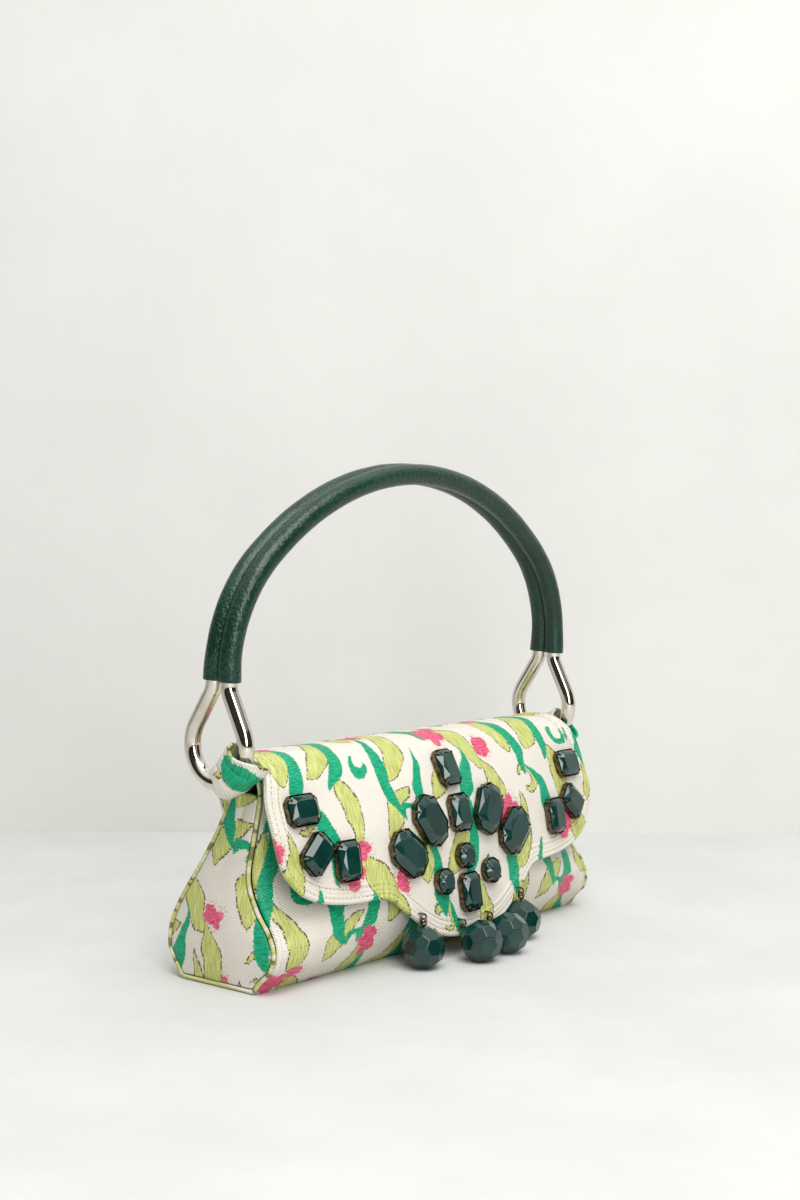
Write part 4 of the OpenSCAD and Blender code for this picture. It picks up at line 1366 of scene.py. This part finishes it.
def sweep_run(bm, edges, move, steps=1):
    for _ in range(steps):
        made = bmesh.ops.extrude_edge_only(bm, edges=edges)["geom"]
        verts = [item for item in made if isinstance(item, bmesh.types.BMVert)]
        bmesh.ops.translate(bm, verts=verts, vec=Vector(move) / steps)
        edges = [item for item in made if isinstance(item, bmesh.types.BMEdge)
                 and all(vert in verts for vert in item.verts)]
    return edges


def close_ends(bm):
    bmesh.ops.holes_fill(bm, edges=[edge for edge in bm.edges if edge.is_boundary])
    bmesh.ops.recalc_face_normals(bm, faces=bm.faces)


# %% Rings
ROD_R = 4
RING_R = 17.5
SIDE_ANGLE = 30
REVERSE_R = 9
LEG_Y = 5
LEG_DEPTH = 5
LEATHER_Z = 30.31
side_cos, side_sin = math.cos(math.radians(SIDE_ANGLE)), math.sin(math.radians(SIDE_ANGLE))
straight = (RING_R * side_cos - LEG_Y - REVERSE_R * (1 - side_cos)) / side_sin
leg_z = RING_R * side_sin + straight * side_cos + REVERSE_R * side_sin


def half_ring(bm):
    foot = Matrix.Translation((0, 0, -RING_R)) @ Matrix.Rotation(math.pi / 2, 4, "X")
    made = bmesh.ops.create_circle(bm, segments=32, radius=ROD_R, matrix=foot)
    edges = list({edge for vert in made["verts"] for edge in vert.link_edges})
    edges = sweep_arc(bm, edges, (0, 0, 0), (1, 0, 0), 90 + SIDE_ANGLE, 40)
    edges = sweep_run(bm, edges, (0, -straight * side_sin, straight * side_cos), 2)
    edges = sweep_arc(bm, edges, (0, LEG_Y + REVERSE_R, leg_z), (1, 0, 0), -SIDE_ANGLE, 12)
    sweep_run(bm, edges, (0, 0, LEATHER_Z + LEG_DEPTH - leg_z), 2)


for hand, word in ((-1, "left"), (1, "right")):
    bm = bmesh.new()
    half_ring(bm)
    other = bm.copy()
    bmesh.ops.scale(other, verts=other.verts, vec=(1, -1, 1))
    add_loose(bm, other, Matrix.Identity(4))
    bmesh.ops.remove_doubles(bm, verts=bm.verts, dist=0.01)
    close_ends(bm)
    bm.transform(TO_METRES @ RING_PLACE @ Matrix.Translation((hand * HANDLE_X, 0, 0)))
    finish_piece(bm, "nickel_ring_" + word, "handle", "nickel", ["ring_" + word])
print("ring legs stand", 2 * LEG_Y, "mm apart and bend at", round(leg_z, 1), "mm above the ring's centre")

# %% [markdown]
# ## The leather handle
# Two tubes of leather lie side by side and are stitched together along the valleys between them. The
# section is one round outline pulled into two lobes. It is carried up one leg, over a tight shoulder, the
# wide crown and the other shoulder, and its ends are opened a little for the rods.

# %% Handle leather
TUBE_R = 5.3
TUBE_Y = 4.4
SHOULDER_R = 69.5
SHOULDER_ANGLE = 47
CROWN_ANGLE = 180 - 2 * SHOULDER_ANGLE
SHOULDER_X = HANDLE_X - SHOULDER_R
SHOULDER_Z = LEATHER_Z + LEG_DEPTH
CROWN_Z = SHOULDER_Z - SHOULDER_X * math.tan(math.radians(SHOULDER_ANGLE))
CROWN_R = SHOULDER_X / math.cos(math.radians(SHOULDER_ANGLE)) + SHOULDER_R
SHOULDER_RUN = SHOULDER_R * math.radians(SHOULDER_ANGLE)
HANDLE_RUN = 2 * LEG_DEPTH + 2 * SHOULDER_RUN + CROWN_R * math.radians(CROWN_ANGLE)
# The handle's three arcs: middle, radius, first angle and the distance at which each starts
ARCS = [((-SHOULDER_X, 0, SHOULDER_Z), SHOULDER_R, 0, LEG_DEPTH),
        ((0, 0, CROWN_Z), CROWN_R, SHOULDER_ANGLE, LEG_DEPTH + SHOULDER_RUN),
        ((SHOULDER_X, 0, SHOULDER_Z), SHOULDER_R, 180 - SHOULDER_ANGLE,
         HANDLE_RUN - LEG_DEPTH - SHOULDER_RUN)]
FLARE_LENGTH = 16
FLARE = 0.08
VALLEY = 3.5
# Height in millimetres, size and seed
WRINKLES = ((0.12, 9, 2), (0.08, 3.5, 4))
HEM = 0.9
HEM_DEPTH = 1.2


def lobe_radius(turn):
    """The two-lobed outline, with its valleys softened."""
    s, c = abs(math.sin(turn)), math.cos(turn)
    reach = TUBE_Y * s + math.sqrt(TUBE_R ** 2 - (TUBE_Y * c) ** 2)
    return max(reach, VALLEY + 0.25 * s)


def handle_outline(bm):
    """The section, in a flat plane at the foot of the left leg."""
    made = bmesh.ops.create_circle(bm, segments=64, radius=1)
    for vert in made["verts"]:
        vert.co *= lobe_radius(math.atan2(vert.co.y, vert.co.x))
    bmesh.ops.translate(bm, verts=made["verts"], vec=(-HANDLE_X, 0, LEATHER_Z))
    return list({edge for vert in made["verts"] for edge in vert.link_edges})


def handle_section(distance):
    """A point on the handle's middle line and its outward direction, by distance from the left foot."""
    if distance < LEG_DEPTH:
        return Vector((-HANDLE_X, 0, LEATHER_Z + distance)), Vector((-1, 0, 0))
    if distance >= HANDLE_RUN - LEG_DEPTH:
        return Vector((HANDLE_X, 0, LEATHER_Z + HANDLE_RUN - distance)), Vector((1, 0, 0))
    centre, radius, first, begins = [arc for arc in ARCS if distance >= arc[3]][-1]
    turn = math.radians(first) + (distance - begins) / radius
    out = Vector((-math.cos(turn), 0, math.sin(turn)))
    return Vector(centre) + radius * out, out


def flared(point):
    """Opens the ends of the leather for the rods."""
    open_up = between(FLARE_LENGTH, 0, point.z - LEATHER_Z)
    return Vector((point.x, point.y * (1 + FLARE * open_up), point.z))


bm = bmesh.new()
edges = handle_outline(bm)
edges = sweep_run(bm, edges, (0, 0, LEG_DEPTH), 6)
for arc, angle, steps in zip(ARCS, (SHOULDER_ANGLE, CROWN_ANGLE, SHOULDER_ANGLE), (30, 70, 30)):
    edges = sweep_arc(bm, edges, arc[0], (0, 1, 0), angle, steps)
sweep_run(bm, edges, (0, 0, -LEG_DEPTH), 6)
for vert in bm.verts:
    wrinkle = sum(height * ruffle(vert.co, size, seed) for height, size, seed in WRINKLES)
    vert.co = flared(vert.co) * (1 + wrinkle / vert.co.length)
close_ends(bm)
caps = [face for face in bm.faces if len(face.verts) > 10]
bmesh.ops.inset_individual(bm, faces=caps, thickness=HEM, depth=0, use_even_offset=True)
bmesh.ops.translate(bm, verts=list({vert for face in caps for vert in face.verts}), vec=(0, 0, HEM_DEPTH))
bm.transform(TO_METRES @ RING_PLACE)
finish_piece(bm, "handle_leather", "handle", "leather", ["handle_cover"])

# %% Handle stitches
HANDLE_STITCH = 3.4
HANDLE_THREAD_LIFT = 0.25


def valley_path(out_side):
    turn = RING_PLACE.to_3x3()

    def path(distance):
        point, out = handle_section(distance)
        side = out_side * out
        return RING_PLACE @ (point + (VALLEY + HANDLE_THREAD_LIFT) * side), turn @ side
    return path


bm = bmesh.new()
for out_side in (-1, 1):
    stitch_row(bm, valley_path(out_side), HANDLE_RUN, HANDLE_STITCH)
finish_piece(bm, "handle_stitches", "handle", "green thread")
print("handle length along its middle, mm:", round(HANDLE_RUN))

# %% [markdown]
# ## Ring straps
# A short wide strap of brocade comes out of the bag's front corner, runs over the inside of the ring, down
# its outer face and back under it. A flat strap can't follow the ring's curve inside the ring, so it lies
# there as a straight chord with a raised corner. Its end shows below as a folded point.

# %% Ring straps
# Each strap's middle, in degrees from the ring's lowest point towards the front, and half its width
STRAP_TURN = {-1: 46, 1: 27}
STRAP_HALF = {-1: 10.5, 1: 8}
STRAP_WALL = 1.3
STRAP_DENT = 0.6
# Depth, place across the strap and width of the two long creases
STRAP_CREASES = ((1.0, -3.2, 1.1), (0.7, 4.6, 0.9))
# The radius on which a strap lies where it follows the ring
STRAP_ARC = 19
# The cut's width, as a share of the widest half
STRAP_CUT = 1.75
LEG_ROOM = 3.4
# The strap's pointed end, which shows on the end panel: from its top to its tip
TAIL_HALF = (4.2, 0.5)
TAIL_Y = (1.0, -1.6)
TAIL_Z = (93.5, 80.5)
TAIL_LIFT = 2.0
TAIL_RIDGE = 1.7
# The strap's way round the rod: distance outside the rod's middle, distance from the ring's centre, how far
# it follows the ring's curve, and its width
STRAP_SECTION = [(-12, 17.4, 0, 0.5), (-8.5, 15.6, 0, 0.56), (-5.4, 11.4, 0, 0.7), (-2.2, 8.0, 0, 0.83),
                 (1.5, 7.0, 0.05, 0.86), (4.9, 8.8, 0.2, 0.94), (6.3, 12.5, 0.5, 1), (6.8, 17, 0.8, 1),
                 (5.9, 21.2, 0.95, 1), (2.2, 23.6, 1, 0.95), (-3, 23.3, 1, 0.85), (-8, 21.5, 1, 0.7),
                 (-11, 20.5, 1, 0.6)]
STRAP_LAST = len(STRAP_SECTION) - 1

strap_ruler = Ruler(lambda v: (*along(STRAP_SECTION, STRAP_LAST * v)[:2], 0), 0, 1)


def strap_place(hand):
    centre = Vector((hand * HANDLE_X, -RING_FRONT, RING_Z))
    middle = math.radians(STRAP_TURN[hand])

    def around(turn):
        return Vector((0, -math.sin(turn), -math.cos(turn)))

    def place(u, v):
        off, reach, curve, width = along(STRAP_SECTION, STRAP_LAST * v)
        w = (2 * u - 1) * STRAP_HALF[hand] * width
        crease = sum(deep * math.exp(-((w - at) / wide) ** 2) for deep, at, wide in STRAP_CREASES)
        crease *= between(0.3, 0.45, v) * between(1, 0.8, v)
        soft = STRAP_DENT * ruffle((w, 50 * v, 3 * hand), 9, 6)
        # Room for the ring's straight leg, which comes past here when the handle is folded forwards
        reach += LEG_ROOM * between(-2, 7, w) * between(0.55, 0.72, v)
        chord = reach * around(middle) + w * around(middle + math.pi / 2)
        arc = reach * around(middle + w / STRAP_ARC)
        off += (soft - crease) * between(0.15, 0.4, v)
        return centre + chord.lerp(arc, min(1, max(0, curve))) + Vector((hand * off, 0, 0))
    return place


def tail_place(hand):
    def place(u, v):
        half = mix(*TAIL_HALF, v) * (1 - 0.25 * math.sin(math.pi * v))
        y = mix(*TAIL_Y, v) + (2 * u - 1) * half
        z = mix(*TAIL_Z, v)
        fold = TAIL_RIDGE * (1 - abs(2 * u - 1)) * (1 - v)
        return Vector((hand * (end_x(z) + SEAM_GAP + CLOTH_WALL + TAIL_LIFT + fold), y, z))
    return place


for hand, word in ((-1, "left"), (1, "right")):
    cut = STRAP_CUT * STRAP_HALF[hand]
    strap = cloth_grid(40, 72, strap_place(hand), lambda u, v: (cut * u, strap_ruler.length * v))
    tail = cloth_grid(10, 14, tail_place(hand), lambda u, v: (9 * u, 13 * v))
    mirrored = strap if hand > 0 else tail
    bmesh.ops.reverse_faces(mirrored, faces=mirrored.faces)
    add_loose(strap, tail, Matrix.Identity(4))
    cloth_piece(strap, "strap_cloth_" + word, "bag", "ring loops", ["ring_loop_" + word], STRAP_WALL,
                ["nickel_ring_" + word])

# %% [markdown]
# ## Pieces kept from the frame
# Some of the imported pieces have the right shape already: the bead eyes and their links, the snap, the
# board in the base and the cotton cords in the handle. They only need a finish.

# %% Finishes for kept pieces
KEPT = {"base_board": "board", "snap_socket": "steel", "snap_stud": "steel", "bead_links": "bronze",
        "handle_core_front": "cotton", "handle_core_back": "cotton"}
KEPT.update({"eye_" + name: "bronze" for name in bead_turns})
for node, finish in KEPT.items():
    kept = bpy.data.objects[node]
    for slot in kept.material_slots:
        slot.material = FINISH[finish]
print("kept pieces:", len(KEPT))

# %% [markdown]
# ## Floor, backdrop and light
# The bag stands on a pale stone floor before a pale plastered wall. Both are plain planes, and a camera
# behind the wall sees through it. A tall narrow lamp stands like a window in front to the left and gives
# the stones their bright facets. A broad one hangs above. The world is dark near the horizon, so that
# metal and glass have something dark to reflect, and pale above; a camera sees it pale all round.

# %% Floor and backdrop
WALL_DISTANCE = 0.315
STAGE_LOOK = {"detail": 5.0, "high": 0.75, "rough": (0.0, 0.7), "Specular_IOR_Level": 0.2}
view_way = Vector((math.sin(math.radians(-CAMERA_TURN)), math.cos(math.radians(-CAMERA_TURN)), 0))


def one_sided(material):
    """Lets a camera behind a backdrop see through it."""
    graph, nodes = Graph(material.node_tree), material.node_tree.nodes
    behind = graph.out("ShaderNodeNewGeometry", output="Backfacing")
    front = Value(graph, nodes["Principled BSDF"].outputs[0])
    clear = graph.out("ShaderNodeBsdfTransparent")
    mixed = graph.out("ShaderNodeMixShader", {0: behind, 1: front, 2: clear})
    graph.fill(nodes["Material Output"].inputs, Surface=mixed)
    return material


def stage_plane(name, material, width, height, matrix):
    bm = bmesh.new()
    bmesh.ops.create_grid(bm, x_segments=1, y_segments=1, size=0.5)
    bm.transform(matrix @ Matrix.Diagonal((width, height, 1, 1)))
    mesh = bpy.data.meshes.new(name)
    bm.to_mesh(mesh)
    bm.free()
    mesh.materials.append(material)
    plane = bpy.data.objects.new(name, mesh)
    bpy.context.collection.objects.link(plane)


stone_floor = mottled_material("pale stone", (200, 201, 198), (208, 209, 206), 9.0, relief=0.2,
                               **STAGE_LOOK)
stage_plane("floor", stone_floor, 6, 6, Matrix.Identity(4))
plaster = one_sided(mottled_material("pale plaster", (220, 219, 215), (226, 225, 221), 5.0, relief=1.5,
                                     **STAGE_LOOK))
wall_turn = Matrix.Rotation(math.radians(CAMERA_TURN), 4, "Z") @ Matrix.Rotation(math.pi / 2, 4, "X")
stage_plane("backdrop", plaster, 6, 4, Matrix.Translation(WALL_DISTANCE * view_way) @ wall_turn)

# %% Lamps and world
LAMP_AIM = Vector((0, 0, 0.1))


def soft_lamp(name, place, size, power):
    data = bpy.data.lights.new(name, "AREA")
    data.shape = "RECTANGLE"
    data.size, data.size_y = size
    data.energy = power
    lamp = bpy.data.objects.new(name, data)
    lamp.location = place
    lamp.rotation_euler = (LAMP_AIM - Vector(place)).to_track_quat("-Z", "Y").to_euler()
    bpy.context.collection.objects.link(lamp)


soft_lamp("window", (-0.85, -1.3, 0.66), (0.5, 1.1), 12)
soft_lamp("ceiling", (-0.35, -0.75, 1.7), (1.3, 1.3), 25)
world = bpy.data.worlds.new("pale room")
bpy.context.scene.world = world
world.use_nodes = True
room = Graph(world.node_tree)
x, y, height = room.split(room.out("ShaderNodeTexCoord", output="Generated"))
low_shade = room.shade(height, -0.05, 0.2, colour(38, 34, 30), colour(62, 56, 50))
room_shade = room.blend(room.step(height, 0.45, 0.8), low_shade, colour(255, 255, 255))
# The camera sees a pale wall all round, and so does metal where it mirrors what lies behind the bag
away = x * view_way.x + y * view_way.y
rays = room.outs(room.node("ShaderNodeLightPath"))
seen = rays["Is Glossy Ray"] * room.step(away, 0.2, 0.4)
seen = room.math("MAXIMUM", seen, rays["Is Transmission Ray"])
seen = room.math("MAXIMUM", rays["Is Camera Ray"], seen)
room_shade = room.blend(seen, room_shade, colour(232, 231, 227))
room.fill(world.node_tree.nodes["Background"].inputs, Color=room_shade)
